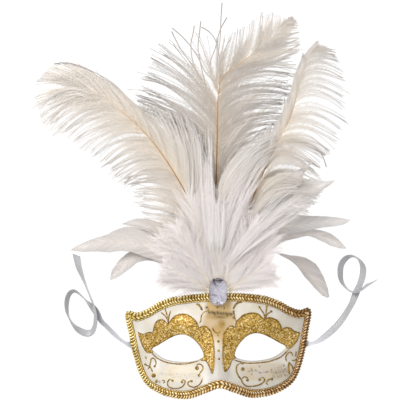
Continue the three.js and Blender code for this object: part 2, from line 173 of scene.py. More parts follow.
def nearest_on(outline, x, y):
    """Signed distance of plan points to a closed outline, positive inside, and the nearest point on it.
    The sign comes from how often a line to the right crosses the outline."""
    a = np.asarray(outline, float)
    b = np.roll(a, -1, axis=0)
    step = b - a
    place = np.stack([x, y], -1)[:, None]
    share = np.clip(((place - a) * step).sum(-1) / (step ** 2).sum(-1), 0, 1)
    near = a + share[..., None] * step
    gap = np.linalg.norm(place - near, axis=-1)
    best = gap.argmin(1)
    rises = (a[:, 1] > y[:, None]) != (b[:, 1] > y[:, None])
    height = np.where(step[:, 1] == 0, 1e-9, step[:, 1])
    crossing = a[:, 0] + (y[:, None] - a[:, 1]) / height * step[:, 0]
    inside = (rises & (x[:, None] < crossing)).sum(1) % 2 == 1
    rows = np.arange(len(x))
    return np.where(inside, 1, -1) * gap[rows, best], near[rows, best]


# The face

def face_height(x, y):
    """Height of the outer face over the table: an arch over the width, plus bells for the nose and for the
    forms on each side, less a parabola at the forehead."""
    side = np.abs(x)
    across = np.minimum(side / (SIDE_REACH + SIDE_SPREAD * y - SIDE_ROUNDING * y * y), 1.1)
    rim = math.sqrt(DOME_RADIUS ** 2 - 1)
    dome = (np.sqrt(DOME_RADIUS ** 2 - across ** 2) - rim) / (DOME_RADIUS - rim)
    growth = smoothstep(NOSE_TOP - y, 0, NOSE_TOP - NOSE_BOTTOM)
    nose = NOSE_HEIGHT * growth * bell(x, mix(NOSE_NARROW, NOSE_WIDE, growth))
    forehead = FOREHEAD_FALL * (np.maximum(y - FOREHEAD_Y, 0) / FOREHEAD_Y) ** 2
    ribbon_gap = RIBBON_LIFT * bell(y - RIBBON_EXIT_Y, 10) * smoothstep(side, 60, 78)
    height = CROWN_HEIGHT * dome + nose - forehead + ribbon_gap
    for rise, out, half_width, middle, half_height, lean in FACE_FORMS:
        height = height + rise * bell(side - out, half_width) * bell(y - middle + side * lean, half_height)
    return height


def face_normal(x, y):
    """Unit normal of the face from its slopes, measured 0.05 mm to either side."""
    step = 0.05
    slope_x = (face_height(x + step, y) - face_height(x - step, y)) / (2 * step)
    slope_y = (face_height(x, y + step) - face_height(x, y - step)) / (2 * step)
    return unit(np.stack([-slope_x, -slope_y, np.ones_like(slope_x)], -1))


def on_face(x, y, lift):
    """Points of the face, lifted along its normal."""
    base = np.stack([x, y, face_height(x, y)], -1)
    return base + face_normal(x, y) * np.asarray(lift)[..., None]


# Meshes

def grid_quads(rows, columns, closed_rows=False, closed_columns=False, start=0):
    """Quads of a grid of points counted row by row; a closed direction joins its last line to its first."""
    i = np.arange(rows if closed_rows else rows - 1)[:, None]
    j = np.arange(columns if closed_columns else columns - 1)[None]
    i2, j2 = (i + 1) % rows, (j + 1) % columns
    corners = [i * columns + j, i2 * columns + j, i2 * columns + j2, i * columns + j2]
    return np.stack(np.broadcast_arrays(*corners), -1).reshape(-1, 4) + start


def add_object(name, data):
    """A new object in the scene."""
    made = bpy.data.objects.new(name, data)
    bpy.context.scene.collection.objects.link(made)
    return made


def end_caps(sides, rings):
    """One face over the first ring of a tube's points and one over the last."""
    ring = np.arange(sides)
    return [ring[::-1][None], ring[None] + (rings - 1) * sides]


def make_piece(
    name, points, faces, materials, node,
    uv=None, fields=None, face_fields=None, face_slots=None, smooth=True,
):
    """One mesh object at the origin, from points in face millimetres and arrays of triangles and quads. It
    rides with the body, stands for its solid and takes its finish from the materials. uv and fields are
    values per point, and face_fields are values per face."""
    mesh = bpy.data.meshes.new(name)
    corners = np.concatenate([f.ravel() for f in faces]).astype(np.int32)
    sizes = np.concatenate([np.full(len(f), f.shape[1]) for f in faces])
    starts = np.concatenate([[0], np.cumsum(sizes)[:-1]]).astype(np.int32)
    mesh.vertices.add(len(points))
    mesh.loops.add(len(corners))
    mesh.polygons.add(len(sizes))
    mesh.vertices.foreach_set("co", ((points + FACE_MIDDLE) * MM).astype(np.float32).ravel())
    mesh.loops.foreach_set("vertex_index", corners)
    mesh.polygons.foreach_set("loop_start", starts)
    mesh.polygons.foreach_set("use_smooth", np.full(len(sizes), smooth))
    if face_slots is not None:
        mesh.polygons.foreach_set("material_index", np.asarray(face_slots, np.int32))
    mesh.update(calc_edges=True)
    if uv is not None:
        layer = mesh.uv_layers.new(name="OFBake")
        layer.data.foreach_set("uv", uv[corners].astype(np.float32).ravel())
    for domain, named in (("POINT", fields), ("FACE", face_fields)):
        for field, values in (named or {}).items():
            attribute = mesh.attributes.new(field, "FLOAT", domain)
            attribute.data.foreach_set("value", values.astype(np.float32).ravel())
    for material in materials:
        mesh.materials.append(material)
    mesh.validate()
    piece = add_object(name, mesh)
    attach(piece, "root")
    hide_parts(node)
    return piece


def joined(parts):
    """Several (points, faces) put one after another, with the faces' numbers moved on."""
    points = []
    faces = []
    start = 0
    for part_points, part_faces in parts:
        points.append(part_points)
        faces.extend(f + start for f in part_faces)
        start += len(part_points)
    return np.concatenate(points), faces


def level_and_upright(forward):
    """Unit vectors square to a direction: one level, one as upright as it can be."""
    level = unit(np.cross(forward, UP))
    return level, np.cross(level, forward)


def tube(path, radius, sides):
    """Round tube: a ring of the radius at each point of the path, square to the path, with a fan at each
    end."""
    level, upright = level_and_upright(unit(np.gradient(path, axis=0)))
    turn = (np.arange(sides) / sides * 2 * np.pi)[None, :, None]
    ring = level[:, None] * np.cos(turn) + upright[:, None] * np.sin(turn)
    points = (path[:, None] + ring * np.asarray(radius)[:, None, None]).reshape(-1, 3)
    around = np.arange(sides)
    fan = np.stack([np.zeros(sides - 2, int), around[1:-1], around[2:]], -1)
    body = grid_quads(len(path), sides, closed_columns=True)[:, ::-1]
    return points, [body, fan[:, [0, 2, 1]], fan + (len(path) - 1) * sides]


# Materials

def scale_for(millimetres):
    """Texture scale at which one cell or wave covers that many millimetres of the piece."""
    return 1.0 / (millimetres * MM)


class Shading:
    """A node tree that ends in one shader. Most methods add a node and give its result, to be passed on."""

    def __init__(self, tree, shader):
        self.tree = tree
        self.shader = shader

    def join(self, socket, value):
        """Links a socket to another node's result, or sets it to a constant."""
        if isinstance(value, bpy.types.NodeSocket):
            self.tree.links.new(value, socket)
        else:
            socket.default_value = value

    def add(self, kind, inputs=None, **settings):
        """One node, with its settings, then its inputs linked or set."""
        made = self.tree.nodes.new("ShaderNode" + kind)
        for key, value in settings.items():
            setattr(made, key, value)
        for key, value in (inputs or {}).items():
            self.join(made.inputs[key], value)
        return made

    def feed(self, **values):
        """Links or sets the shader's own sockets, named with underlines for spaces."""
        for key, value in values.items():
            self.join(self.shader.inputs[key.replace("_", " ")], value)

    def place(self):
        """Where the point is on the object, in metres."""
        return self.add("TexCoord").outputs["Object"]

    def own_map(self):
        """The piece's own map."""
        return self.add("UVMap", uv_map="OFBake").outputs["UV"]

    def field(self, name):
        """A value that the mesh carries."""
        return self.add("Attribute", attribute_name=name).outputs["Fac"]

    def split(self, vector):
        """X, Y and Z of a vector."""
        return self.add("SeparateXYZ", {"Vector": vector}).outputs

    def noise(self, millimetres, detail):
        """Soft noise with patches of that width."""
        inputs = {"Vector": self.place(), "Scale": scale_for(millimetres), "Detail": detail}
        return self.add("TexNoise", inputs).outputs["Fac"]

    def ramp(self, value, stops):
        """Colour read off a ramp of (place, sRGB hex)."""
        made = self.add("ValToRGB", {"Fac": value})
        elements = made.color_ramp.elements
        while len(elements) < len(stops):
            elements.new(0.5)
        for element, (position, colour) in zip(elements, stops):
            element.position = position
            element.color = linear(colour)
        return made.outputs["Color"]

    def blend(self, share, first, second, **settings):
        """The first colour where share is 0, the second where it is 1."""
        inputs = {"Factor": share, "A": first, "B": second}
        return self.add("Mix", inputs, data_type="RGBA", **settings).outputs["Result"]

    def stretch(self, value, low, high, least=0.0, most=1.0):
        """The value's share of the way from low to high, held inside them, taken from least to most."""
        inputs = {"Value": value, "From Min": low, "From Max": high, "To Min": least, "To Max": most}
        return self.add("MapRange", inputs).outputs["Result"]

    def scaled_sum(self, value, factor, added):
        """value x factor + added."""
        return self.add("Math", {0: value, 1: factor, 2: added}, operation="MULTIPLY_ADD").outputs["Value"]

    def bump(self, height, strength, millimetres, **under):
        """Normal of a relief that many millimetres high, over the Normal given in under, if any."""
        inputs = {"Strength": strength, "Distance": millimetres * MM, "Height": height, **under}
        return self.add("Bump", inputs).outputs["Normal"]


def new_material(name, **values):
    """Material with one Principled shader, whose sockets hold the values, and its shading."""
    material = bpy.data.materials.new(name)
    material.use_nodes = True
    shading = Shading(material.node_tree, material.node_tree.nodes["Principled BSDF"])
    shading.feed(**values)
    return material, shading


def painted_shell_material(look):
    """Acrylic paint and loose glitter on a moulded shell: satin cream with fine mottling, sparkling gold
    panels, a brown-gold wash down the nose and pale printed paper on the cheeks."""
    material, shading = new_material("cream_acrylic_and_glitter", IOR=1.48)
    cream = [(0.3, look.cream_shade), (0.55, look.cream), (0.75, "#E6E2DA")]
    paper = [(0.35, "#DFCFB4"), (0.5, "#E3DAC2"), (0.65, "#DCD2CA")]
    gold = [(0.0, "#7A5412"), (0.3, "#B08A34"), (0.62, "#CFA74E"), (0.86, "#EBCB80"), (1.0, "#FFF0C4")]
    colour = shading.ramp(shading.noise(14, 5.0), cream)
    colour = shading.blend(shading.field("paper"), colour, shading.ramp(shading.noise(9, 3.0), paper))
    # The grey lays printed marks and painted shade
    for field, tint in (("ink_and_shade", "#5E5868"), ("wash", "#B9913A"), ("stain", "#4A380C")):
        colour = shading.blend(shading.field(field), colour, linear(tint))
    # Real flakes are 0.2 to 0.4 mm; they are drawn 1 mm wide, because finer ones melt into one tone here
    cells = shading.add("TexVoronoi", {"Vector": shading.place(), "Scale": scale_for(1.0)})
    flake = shading.add("SeparateColor", {"Color": cells.outputs["Color"]}).outputs
    # The edge of a panel is drawn with a darker contour about a millimetre wide
    edge = shading.field("glitter")
    glitter = shading.stretch(edge, -0.2, 0.2)
    contour = shading.stretch(edge, 0.3, 1.2, 0.7, 0.0)
    flakes = shading.blend(contour, shading.ramp(flake["Red"], gold), linear("#6A4A12"))
    paint_grain = shading.bump(shading.noise(1.5, 4.0), 0.12, 0.3)
    shading.feed(
        Base_Color=shading.blend(glitter, colour, flakes),
        Metallic=shading.stretch(glitter, 0.0, 1.0, 0.0, 0.55),
        Roughness=shading.stretch(glitter, 0.0, 1.0, 0.42, 0.55),
        Normal=shading.bump(flake["Green"], glitter, 0.6, Normal=paint_grain),
    )
    return material


def lining_material():
    """Bare moulded pulp inside the shell: matt, off-white, with a faint felt grain."""
    material, shading = new_material("moulded_pulp", Roughness=0.85)
    felt = shading.noise(3, 6.0)
    tones = [(0.3, "#D9D2C4"), (0.7, "#EEE9DE")]
    shading.feed(Base_Color=shading.ramp(felt, tones), Normal=shading.bump(felt, 0.4, 0.4))
    return material


def gold_paste_material(look):
    """Gold relief paste squeezed from a tube: half metallic, with brown where it lies thin."""
    material, shading = new_material("gold_relief_paste", Metallic=0.55, Roughness=0.36)
    worn = shading.noise(2.2, 4.0)
    tones = [(0.34, "#5E4310"), (0.54, look.gold), (0.74, "#C8A250")]
    shading.feed(Base_Color=shading.ramp(worn, tones), Normal=shading.bump(worn, 0.3, 0.3))
    return material


def braid_material(look):
    """Gimp braid of metallised thread, with painted light: painted highlights on the crowns of its lobes and
    painted shade, dark brown, down in the furrows. It is greener gold at one side and more bronze at the
    other."""
    material, shading = new_material("metallised_gimp_thread", Metallic=0.6, Roughness=0.4)
    green_gold = [(0.33, "#624A14"), (0.55, "#A5832C"), (0.82, look.gold_light), (1.0, "#F6E9B4")]
    bronze = [(0.33, "#543714"), (0.52, "#93682F"), (0.82, "#CB9C58"), (1.0, "#F4DFB2")]
    # Painted light: the ramps run from painted shade in the furrows to painted highlights on the crowns
    lit = shading.scaled_sum(shading.noise(2.4, 3.0), 0.6, shading.field("lobe_light_and_shade"))
    place = shading.split(shading.place())
    side = shading.stretch(shading.scaled_sum(place["Y"], -0.8, place["X"]), 0.045, 0.185)
    # Threads are 0.25 mm thick
    threads = shading.noise(0.5, 2.0)
    shading.feed(
        Base_Color=shading.blend(side, shading.ramp(lit, green_gold), shading.ramp(lit, bronze)),
        Normal=shading.bump(threads, 0.5, 0.2),
    )
    return material


def crystal_materials():
    """Cut glass, clear with a breath of lavender, and the silver foil behind it that throws the light
    back."""
    glass, _ = new_material(
        "cut_glass", Base_Color=linear("#FBFAFE"), Roughness=0.02, IOR=1.54, Transmission_Weight=1.0,
    )
    foil, shading = new_material("silver_foil", Metallic=0.12, Roughness=0.3)
    tones = [(0.0, "#4B4048"), (0.35, "#A7A1AA"), (0.7, "#E6E3EC"), (1.0, "#FFFFFF")]
    # The foil's tones are painted reflections
    shading.feed(Base_Color=shading.ramp(shading.field("tone"), tones))
    return glass, foil


def feather_material(name, lengthwise, strands, **values):
    """Feather barbs: a colour ramp from the shaft out to the tip, times a ramp of paler and greyer strands.
    Both read the piece's own map, which holds the place along the barb and the strand's tone."""
    material, shading = new_material(name, IOR=1.45, **values)
    own = shading.split(shading.own_map())
    ramps = (shading.ramp(own["X"], lengthwise), shading.ramp(own["Y"], strands))
    shading.feed(Base_Color=shading.blend(1.0, *ramps, blend_type="MULTIPLY"))
    return material


def quill_material(name, stops):
    """Horn of a feather shaft: smooth and waxy, cream at the root, tan to orange-brown further out."""
    material, shading = new_material(name, Roughness=0.38, IOR=1.54)
    shading.feed(Base_Color=shading.ramp(shading.split(shading.own_map())["X"], stops))
    return material


def satin_material(look):
    """Polyester satin: white with a broad soft gloss along the band, and fine cross ribs a quarter of a
    millimetre apart. Where it comes out from under the mask it is painted paler, a painted highlight."""
    material, shading = new_material(
        "white_polyester_satin", Roughness=0.34, Sheen_Weight=0.35, Sheen_Roughness=0.4, Anisotropic=0.5,
    )
    own = shading.own_map()
    waves = {"Vector": own, "Scale": 260.0, "Distortion": 0.6}
    ribs = shading.add("TexWave", waves, bands_direction="X").outputs["Fac"]
    tone = shading.ramp(ribs, [(0.0, "#98989B"), (1.0, look.satin)])
    # Painted highlight where the band comes out from under the mask
    near_mask = shading.stretch(shading.split(own)["X"], 0.22, 0.09)
    shading.feed(
        Base_Color=shading.blend(near_mask, tone, linear("#D8D8DF")), Normal=shading.bump(ribs, 0.15, 0.1),
    )
    return material


# Ribbons: x, y, height of the middle and lean of the band (0 lies flat, 90 stands on edge)
RIBBON_LEFT_ROUTE = [
    (-70, 1.4, 6.8, 0), (-74, 1.6, 3.2, 0), (-77.2, 1.9, 1.0, 0), (-80.5, 2.2, 0.7, 6), (-85, 3.4, 2.6, 56),
    (-90.7, 7.2, 2.8, 60), (-97.1, 13.1, 2.6, 50), (-103.5, 19.8, 2.6, 50), (-108.4, 24.8, 2.2, 44),
    (-114, 34.7, 1.3, 18), (-121.3, 43.1, 3.0, 72), (-126, 48.1, 3.4, 76), (-130.9, 52.2, 3.2, 66),
    (-134.6, 52.6, 2.8, 54), (-138, 49.5, 2.6, 48), (-139.9, 43.4, 2.6, 48), (-140, 35.2, 3.0, 62),
    (-137.9, 27.7, 3.4, 80), (-134, 21.1, 3.0, 66), (-128.3, 16, 1.8, 28), (-121.8, 13.4, 1.4, 12),
    (-117, 14.8, 2.2, 38), (-114.4, 19.9, 3.4, 52), (-113.4, 26.5, 5.0, 58), (-114, 34.7, 6.2, 66),
    (-116.3, 43, 5.2, 74), (-119.5, 51.2, 4.0, 76), (-122.6, 59.6, 3.4, 70), (-125.7, 67.8, 2.8, 52),
    (-128.4, 76, 1.8, 28), (-130.4, 86, 1.0, 8),
]
RIBBON_RIGHT_ROUTE = [
    (70, 1.4, 6.8, 0), (74, 1.0, 3.2, 0), (77.2, 0.9, 0.7, 0), (80.5, 0.6, 0.6, 6), (85, 0.4, 2.8, 66),
    (91.7, 2.4, 2.8, 58), (100, 8, 1.9, 32), (108.3, 15.2, 1.7, 28), (115.1, 23.3, 1.8, 32),
    (120.1, 30.7, 2.0, 38), (124.3, 37.9, 1.9, 36), (127.6, 46.1, 1.2, 14), (131.1, 53.5, 1.8, 32),
    (133.7, 60.8, 2.0, 30), (134.7, 68.1, 2.0, 32), (133.1, 74, 2.8, 56), (129.1, 78.9, 3.5, 78),
    (124, 80.6, 3.3, 66), (118.4, 78.4, 2.4, 36), (114.3, 72.6, 2.0, 30), (113.3, 65.3, 2.2, 34),
    (114, 58.6, 3.0, 50), (117.1, 52.9, 4.4, 70), (122, 48.4, 5.6, 78), (127.4, 47.2, 6.2, 77),
    (132.4, 49.2, 5.2, 76), (137.4, 52.8, 4.2, 72), (142.7, 56.5, 3.4, 66),
]
RIBBON_WIDTH = 6.35
RIBBON_THICKNESS = 0.5
RIBBON_STATIONS = 280
RIBBON_ACROSS = 7
RIBBON_CUP = 0.25
# How much thinner the band is at its edges, as a share
RIBBON_EDGE = 0.6
# A ribbon's middle line stays this share of its thickness over the table, and its surface this high
RIBBON_CLEAR = 0.7
RIBBON_LOWEST = 0.02
# Slanted cut at the free end: share of the length it takes, and its angle on each ribbon
RIBBON_CUT = 0.05
CUT_LEFT, CUT_RIGHT = math.radians(-32), math.radians(60)


def build_ribbon(name, points, material, cut):
    """Flat satin band: a thin lens-shaped section, cupped by a quarter millimetre, carried along the route
    and leaned over sideways by the route's fourth value."""
    share = np.linspace(0, 1, RIBBON_STATIONS + 1)
    centre, forward = route(points, share)
    lean = np.radians(centre[:, 3:])
    centre = centre[:, :3]
    forward = unit(forward[:, :3])
    half = RIBBON_WIDTH / 2
    lowest = np.abs(np.sin(lean[:, 0])) * half + RIBBON_THICKNESS * RIBBON_CLEAR
    centre[:, 2] = np.maximum(centre[:, 2], lowest)
    level = unit(np.stack([forward[:, 1], -forward[:, 0], np.zeros(len(forward))], -1))
    width = level * np.cos(lean) + UP * np.sin(lean)
    normal = unit(np.cross(width, forward))
    across = np.linspace(-1, 1, RIBBON_ACROSS)
    cup = RIBBON_CUP * (across ** 2 - 0.5)
    thick = RIBBON_THICKNESS / 2 * (1 - RIBBON_EDGE * across ** 4)
    aside = np.concatenate([across, across[::-1]])
    offset = np.concatenate([cup + thick, (cup - thick)[::-1]])
    ring = centre[:, None] + width[:, None] * aside[:, None] * half + normal[:, None] * offset[:, None]
    slant = smoothstep(share, 1 - RIBBON_CUT, 1)[:, None] * aside * half * math.tan(cut)
    ring = ring + forward[:, None] * slant[..., None]
    ring[..., 2] = np.maximum(ring[..., 2], RIBBON_LOWEST)
    rings, sides = ring.shape[:2]
    faces = [grid_quads(rings, sides, closed_columns=True), *end_caps(sides, rings)]
    uv = np.stack(np.broadcast_arrays(share[:, None], np.linspace(0, 1, sides)), -1).reshape(-1, 2)
    piece = make_piece(name, ring.reshape(-1, 3), faces, [material], name, uv=uv)
    length = np.linalg.norm(np.diff(centre, axis=0), axis=1).sum()
    path = (centre + FACE_MIDDLE) * MM
    tuple(path[0])


# The shell's paint

PANEL_LEFT = [
    (-74.4, 14.6), (-71.2, 12.8), (-69.1, 12.2), (-66.3, 13.5), (-62.8, 13.8), (-60.7, 13.6), (-59.5, 17.6),
    (-58.4, 21.4), (-56.3, 24.3), (-53.4, 25.6), (-50.5, 25.2), (-48.5, 23.4), (-46.4, 21.6), (-42.8, 26.1),
    (-39.2, 29.2), (-35.1, 30.5), (-31.6, 30.6), (-28.1, 29.8), (-24.6, 27.6), (-21.5, 24.7), (-19.4, 21.5),
    (-18.1, 17.6), (-16, 19), (-12.5, 19.3), (-9.6, 17.5), (-7.2, 14.6), (-6.3, 10.7), (-5.2, 6.1),
    (-4.7, -0.6), (-4.5, -7.6), (-4.9, -14.6), (-5.7, -19.9), (-6.7, -23.3), (-8.5, -19.1), (-10.2, -15.6),
    (-12.3, -12.7), (-16.5, -12.3),
]
PANEL_LEFT_OUTER = [(-62.8, -5.5), (-66.6, -4.4), (-69.3, -0.4), (-71.3, 4.1), (-73, 9), (-74.4, 14.6)]
PANEL_RIGHT = [
    (12.6, -11.4), (10.8, -14.5), (9.4, -17.6), (7.2, -20.5), (5, -21.8), (4, -19.3), (3.4, -14.8),
    (3.2, -7.7), (3.5, 2.1), (3.8, 9.4), (6.1, 15.4), (9.6, 18.5), (12.1, 19.2), (14.9, 18.1), (16.4, 23.3),
    (19.2, 25.7), (22.9, 28.9), (29.1, 30.5), (32.7, 30.4), (36.2, 29.5), (39, 27.1), (41.1, 25),
    (43.9, 25.3), (46.7, 25.9), (50.5, 24.8), (54, 23), (56.4, 19.4), (57.7, 16.3), (57.3, 13.8),
    (59.1, 15.2), (62.3, 16.2), (66.2, 15.4), (68.6, 13.2), (72.1, 11.4), (74.5, 10.7), (73.7, 7.5),
    (71.9, 3), (70.4, 1), (67.6, -2.1), (65.5, -3.5),
]
EYE_LEVEL_LEFT = [(-20, -8), (-58, -4)]
EYE_LEVEL_RIGHT = [(58, -3), (20, -8)]

# Printed paper on each cheek: middle, half width, half height, and how much darker it is laid, partly its own
# darker print and partly painted shade on the right cheek, which lies away from the lamp
PAPERS = [((-39, -24), 24, 8.5, 0.2), ((43, -24), 27, 9.5, 1.0)]
# Rows of marks on the paper: first x, last x, y, height of the marks, strength
INK_ROWS = [
    (-58, -18, -24.6, 1.6, 0.3), (-44, -16, -27.0, 1.2, 0.3), (24, 36, -22.6, 1.3, 1.0),
    (36, 48, -24.0, 1.1, 0.8),
]
STAIN_ROWS = [
    (46, 65, -24.6, 2.0, 0.75), (47, 65, -28.2, 2.0, 0.7), (49, 61, -20.2, 1.2, 0.6),
    (48, 63, -22.4, 1.2, 0.55),
]
INK_SPOTS = [
    (29.5, -21.0), (29.5, -25.4), (36.8, -18.7), (36.8, -24.2), (43, -24.2), (47.9, -22.1), (59.5, -18.7),
    (60.2, -22.5), (-57.5, -30.6), (-55.4, -31.8),
]
# Soft stains: x, y, half width, half height, strength
STAINS = [(2.6, 21.5, 4.6, 5.75, 0.34), (4.3, 21.1, 1.6, 1.6, 0.6), (55.5, -24.8, 8.8, 4.4, 0.3)]
# Aged band over the bridge of the nose: its ends, its height at x = 0 and its fall per millimetre
BAND_LEFT, BAND_RIGHT, BAND_Y, BAND_FALL = -9.6, 13.8, 31.0, 0.1
# Lower edge of the paler lens under it: its y at the middle, and how it curves
BAND_FOOT = 25.6
BAND_FOOT_CURVE = 0.012
BAND_SPOTS = [
    (-8.7, 32.1), (-0.9, 32.1), (-3.5, 29.9), (4.7, 31.1), (7.9, 28.8), (12, 30.2), (13.9, 32.4),
    (13.8, 26.7), (-10.9, 36.2),
]
# Half widths of the gold wash over the brow and down the bridge of the nose
WASH_BROW_HALF = 17.5
WASH_BRIDGE_HALF = 9.0

SHELL_ACROSS = 250
SHELL_UP = 136
GLITTER_LIFT = 0.35
GLITTER_GRAIN = 0.22
# Signed distance to the panels that stands for no glitter at all
NO_GLITTER = -9.0
EDGE_ROUNDING = 0.9


def shell_plan():
    """Plan points of the shell: a patch stretched between its four sides, which are blended so that each
    side of the grid runs along its own edge."""
    s = np.linspace(0, 1, SHELL_ACROSS + 1)
    t = np.linspace(0, 1, SHELL_UP + 1)[:, None]
    top, _ = route([*mirrored(TOP_EDGE), *TOP_EDGE[1:]], s)
    low, _ = route([*[(-x, y) for x, y in LOWER_EDGE], *LOWER_EDGE[-2::-1]], s)
    side, _ = route(SIDE_EDGE, t[:, 0])
    corner_x, corner_top = TOP_EDGE[-1]
    foot_x, foot_y = LOWER_EDGE[0]
    corners_x = mix(mix(-corner_x, corner_x, s), mix(-foot_x, foot_x, s), t)
    side_x = side[:, :1]
    x = mix(top[:, 0], low[:, 0], t) + mix(-side_x, side_x, s) - corners_x
    y = mix(top[:, 1], low[:, 1], t) + side[:, 1:2] - mix(corner_top, foot_y, t)
    return x.ravel(), y.ravel()


def mark_rows(x, y, rows):
    """Short uneven strokes in rows: a squared wave along each row times a bell across it."""
    marks = np.zeros_like(x)
    for first, last, row_y, height, strength in rows:
        strokes = 0.5 + 0.5 * np.sin(x * 2.7 + 1.7 * np.sin(x * 0.9) + y * 0.8)
        row = bell(y - row_y - 0.5 * np.sin(x * 0.45), height * (0.6 + 0.4 * np.sin(x * 1.3) ** 2))
        row = row * window(x, first, first + 2, last - 2, last)
        marks = np.maximum(marks, strength * (0.25 + 0.75 * strokes ** 2) * row)
    return marks


def spots(x, y, places, radius):
    """The strongest of equal bells round some places."""
    return np.max([bell(np.hypot(x - at_x, y - at_y), radius) for at_x, at_y in places], axis=0)


def nose_paint(x, y):
    """Gold wash over the brow and the bridge of the nose, and the dark stain of the aged band, per point.
    The band is a line of uneven dark strokes with a paler lens under it."""
    middle = BAND_Y - BAND_FALL * x
    brow_half = WASH_BROW_HALF - 3 * smoothstep(y, 26, 33)
    brow = smoothstep(brow_half - np.abs(x - 0.4), 0, 5.5) * window(y, 9, 17, 40, 46)
    bridge = smoothstep(WASH_BRIDGE_HALF - np.abs(x + 0.3), 0, 5) * window(y, -4, 15, 18, 28)
    under = bell(x - 2.7, 6.5) * bell(y - 20.5, 9)
    above_band = smoothstep(y - middle, -1.5, 1.5)
    wash = np.maximum.reduce([brow * (0.62 + 0.18 * above_band), under, 0.85 * bridge])
    foot = y - BAND_FOOT_CURVE * (x + 2) ** 2
    lens = smoothstep(foot, BAND_FOOT - 2, BAND_FOOT + 2) * smoothstep(middle - y, -0.5, 0.5)
    lens = lens * window(x, -13, -9, 12, 14.5)
    uneven = 0.82 + 0.18 * np.sin(x * 1.7 + 1.3 * np.sin(x * 0.6) + y * 0.9)
    line = bell(y - middle, 1.7) * uneven
    line = line * window(x, BAND_LEFT - 1, BAND_LEFT + 1.5, BAND_RIGHT - 1.5, BAND_RIGHT + 1)
    lower_line = 0.75 * bell(y - 27.6 + BAND_FALL * x, 1.4) * bell(x - 1.6, 6.5)
    shade = (0.2 + 0.22 * smoothstep(x, -8, -1)) * lens
    stain = np.maximum.reduce([line, shade, lower_line, spots(x, y, BAND_SPOTS, 1.2)])
    return np.clip(wash + 0.2 * lens, 0, 1), stain


def paint_fields(x, y):
    """Where each paint lies, per point: signed distance to the glitter panels, the gold wash, the dark stain,
    the printed paper on the cheeks, and the printed marks on it as short uneven strokes in rows. That grey
    also lays a painted shade on the foot of the nose."""
    left, _ = nearest_on([*PANEL_LEFT, *EYE_LEVEL_LEFT, *PANEL_LEFT_OUTER[:-1]], x, y)
    right, _ = nearest_on([*PANEL_RIGHT, *EYE_LEVEL_RIGHT], x, y)
    wash, stain = nose_paint(x, y)
    paper = np.zeros_like(x)
    # Painted shade: a soft grey on the foot of the nose
    ink_and_shade = 0.26 * smoothstep(12.5 - np.abs(x), 0, 5) * smoothstep(3 - y, 0, 8)
    for (mid_x, mid_y), half_x, half_y, print_and_shade in PAPERS:
        away = np.hypot((x - mid_x) / half_x, (y - mid_y) / half_y)
        sheet = 0.85 * smoothstep(-away, -1.05, -0.7)
        paper = np.maximum(paper, sheet)
        # The right sheet is darker: partly its print, partly painted shade
        ink_and_shade = np.maximum(ink_and_shade, 0.1 * print_and_shade * sheet)
        stain = np.maximum(stain, 0.13 * print_and_shade * sheet)
        wash = np.maximum(wash, 0.16 * print_and_shade * sheet)
    for mid_x, mid_y, half_x, half_y, strength in STAINS:
        away = np.hypot((x - mid_x) / half_x, (y - mid_y) / half_y)
        stain = np.maximum(stain, strength * bell(away, 1))
    stain = np.maximum(stain, mark_rows(x, y, STAIN_ROWS))
    ink_and_shade = np.maximum.reduce([ink_and_shade, mark_rows(x, y, INK_ROWS), 0.9 * spots(x, y, INK_SPOTS, 0.9)])
    return {"glitter": np.maximum(left, right), "wash": wash, "paper": paper, "ink_and_shade": ink_and_shade, "stain": stain}


def border_of(cells, count):
    """Edges that only one cell has, in that cell's direction."""
    edges = np.concatenate([cells[:, [k, (k + 1) % 4]] for k in range(4)])
    key = edges.min(1).astype(np.int64) * count + edges.max(1)
    _, first, uses = np.unique(key, return_index=True, return_counts=True)
    return edges[first[uses == 1]]


def build_shell(look):
    """Shell with both eye openings: a fine patch over the plan, whose cells inside an eye are left out and
    whose points next to one are moved onto its outline. The wall is set back along the normals and joined
    all round."""
    x, y = shell_plan()
    eye_outline, _ = route(EYE_OUTLINE, np.linspace(0, 1, 160, endpoint=False), closed=True)
    eye_gap = np.full(len(x), -np.inf)
    for side in (1, -1):
        gap, near = nearest_on(eye_outline * (side, 1), x, y)
        inside = gap > 0
        eye_gap = np.maximum(eye_gap, gap)
        x = np.where(inside, near[:, 0], x)
        y = np.where(inside, near[:, 1], y)
    cells = grid_quads(SHELL_UP + 1, SHELL_ACROSS + 1)
    cells = cells[(eye_gap[cells] <= 0).any(1)]
    used, cells = np.unique(cells, return_inverse=True)
    cells = cells.reshape(-1, 4)
    x, y, eye_gap = x[used], y[used], eye_gap[used]
    fields = paint_fields(x, y)
    # Painted shade: a dark line along the lower rim of each eye, where the cut edge of the shell lies in
    # shade
    lid_shade = bell(eye_gap + 0.4, 0.7) * smoothstep(-y, 3, 8)
    fields["ink_and_shade"] = np.maximum(fields["ink_and_shade"], 0.55 * lid_shade)
    edge = fields["glitter"]
    edge = np.where(edge > 0, np.minimum(edge, 0.25 - eye_gap), edge)
    fields["glitter"] = edge
    noise = np.random.default_rng(5).uniform(-1, 1, len(x))
    lip = EDGE_ROUNDING * np.maximum(0, 1 + np.minimum(eye_gap, 0) / EDGE_ROUNDING) ** 2 * 0.4
    lift = smoothstep(edge, -0.4, 0.5) * (GLITTER_LIFT + GLITTER_GRAIN * noise) - lip
    points = np.concatenate([on_face(x, y, lift), on_face(x, y, np.full_like(x, -WALL))])
    points[:, 2] = np.maximum(points[:, 2], 0)
    border = border_of(cells, len(x))
    wall = np.concatenate([border[:, ::-1], border + len(x)], axis=1)
    faces = [cells, cells[:, ::-1] + len(x), wall]
    slots = np.concatenate([np.zeros(len(cells)), np.ones(len(cells)), np.zeros(len(wall))])
    behind = {name: np.full(len(x), NO_GLITTER if name == "glitter" else 0.0) for name in fields}
    make_piece(
        "painted_mask_shell", points, faces, [painted_shell_material(look), lining_material()],
        "mask_shell", face_slots=slots,
        fields={name: np.concatenate([values, behind[name]]) for name, values in fields.items()},
    )


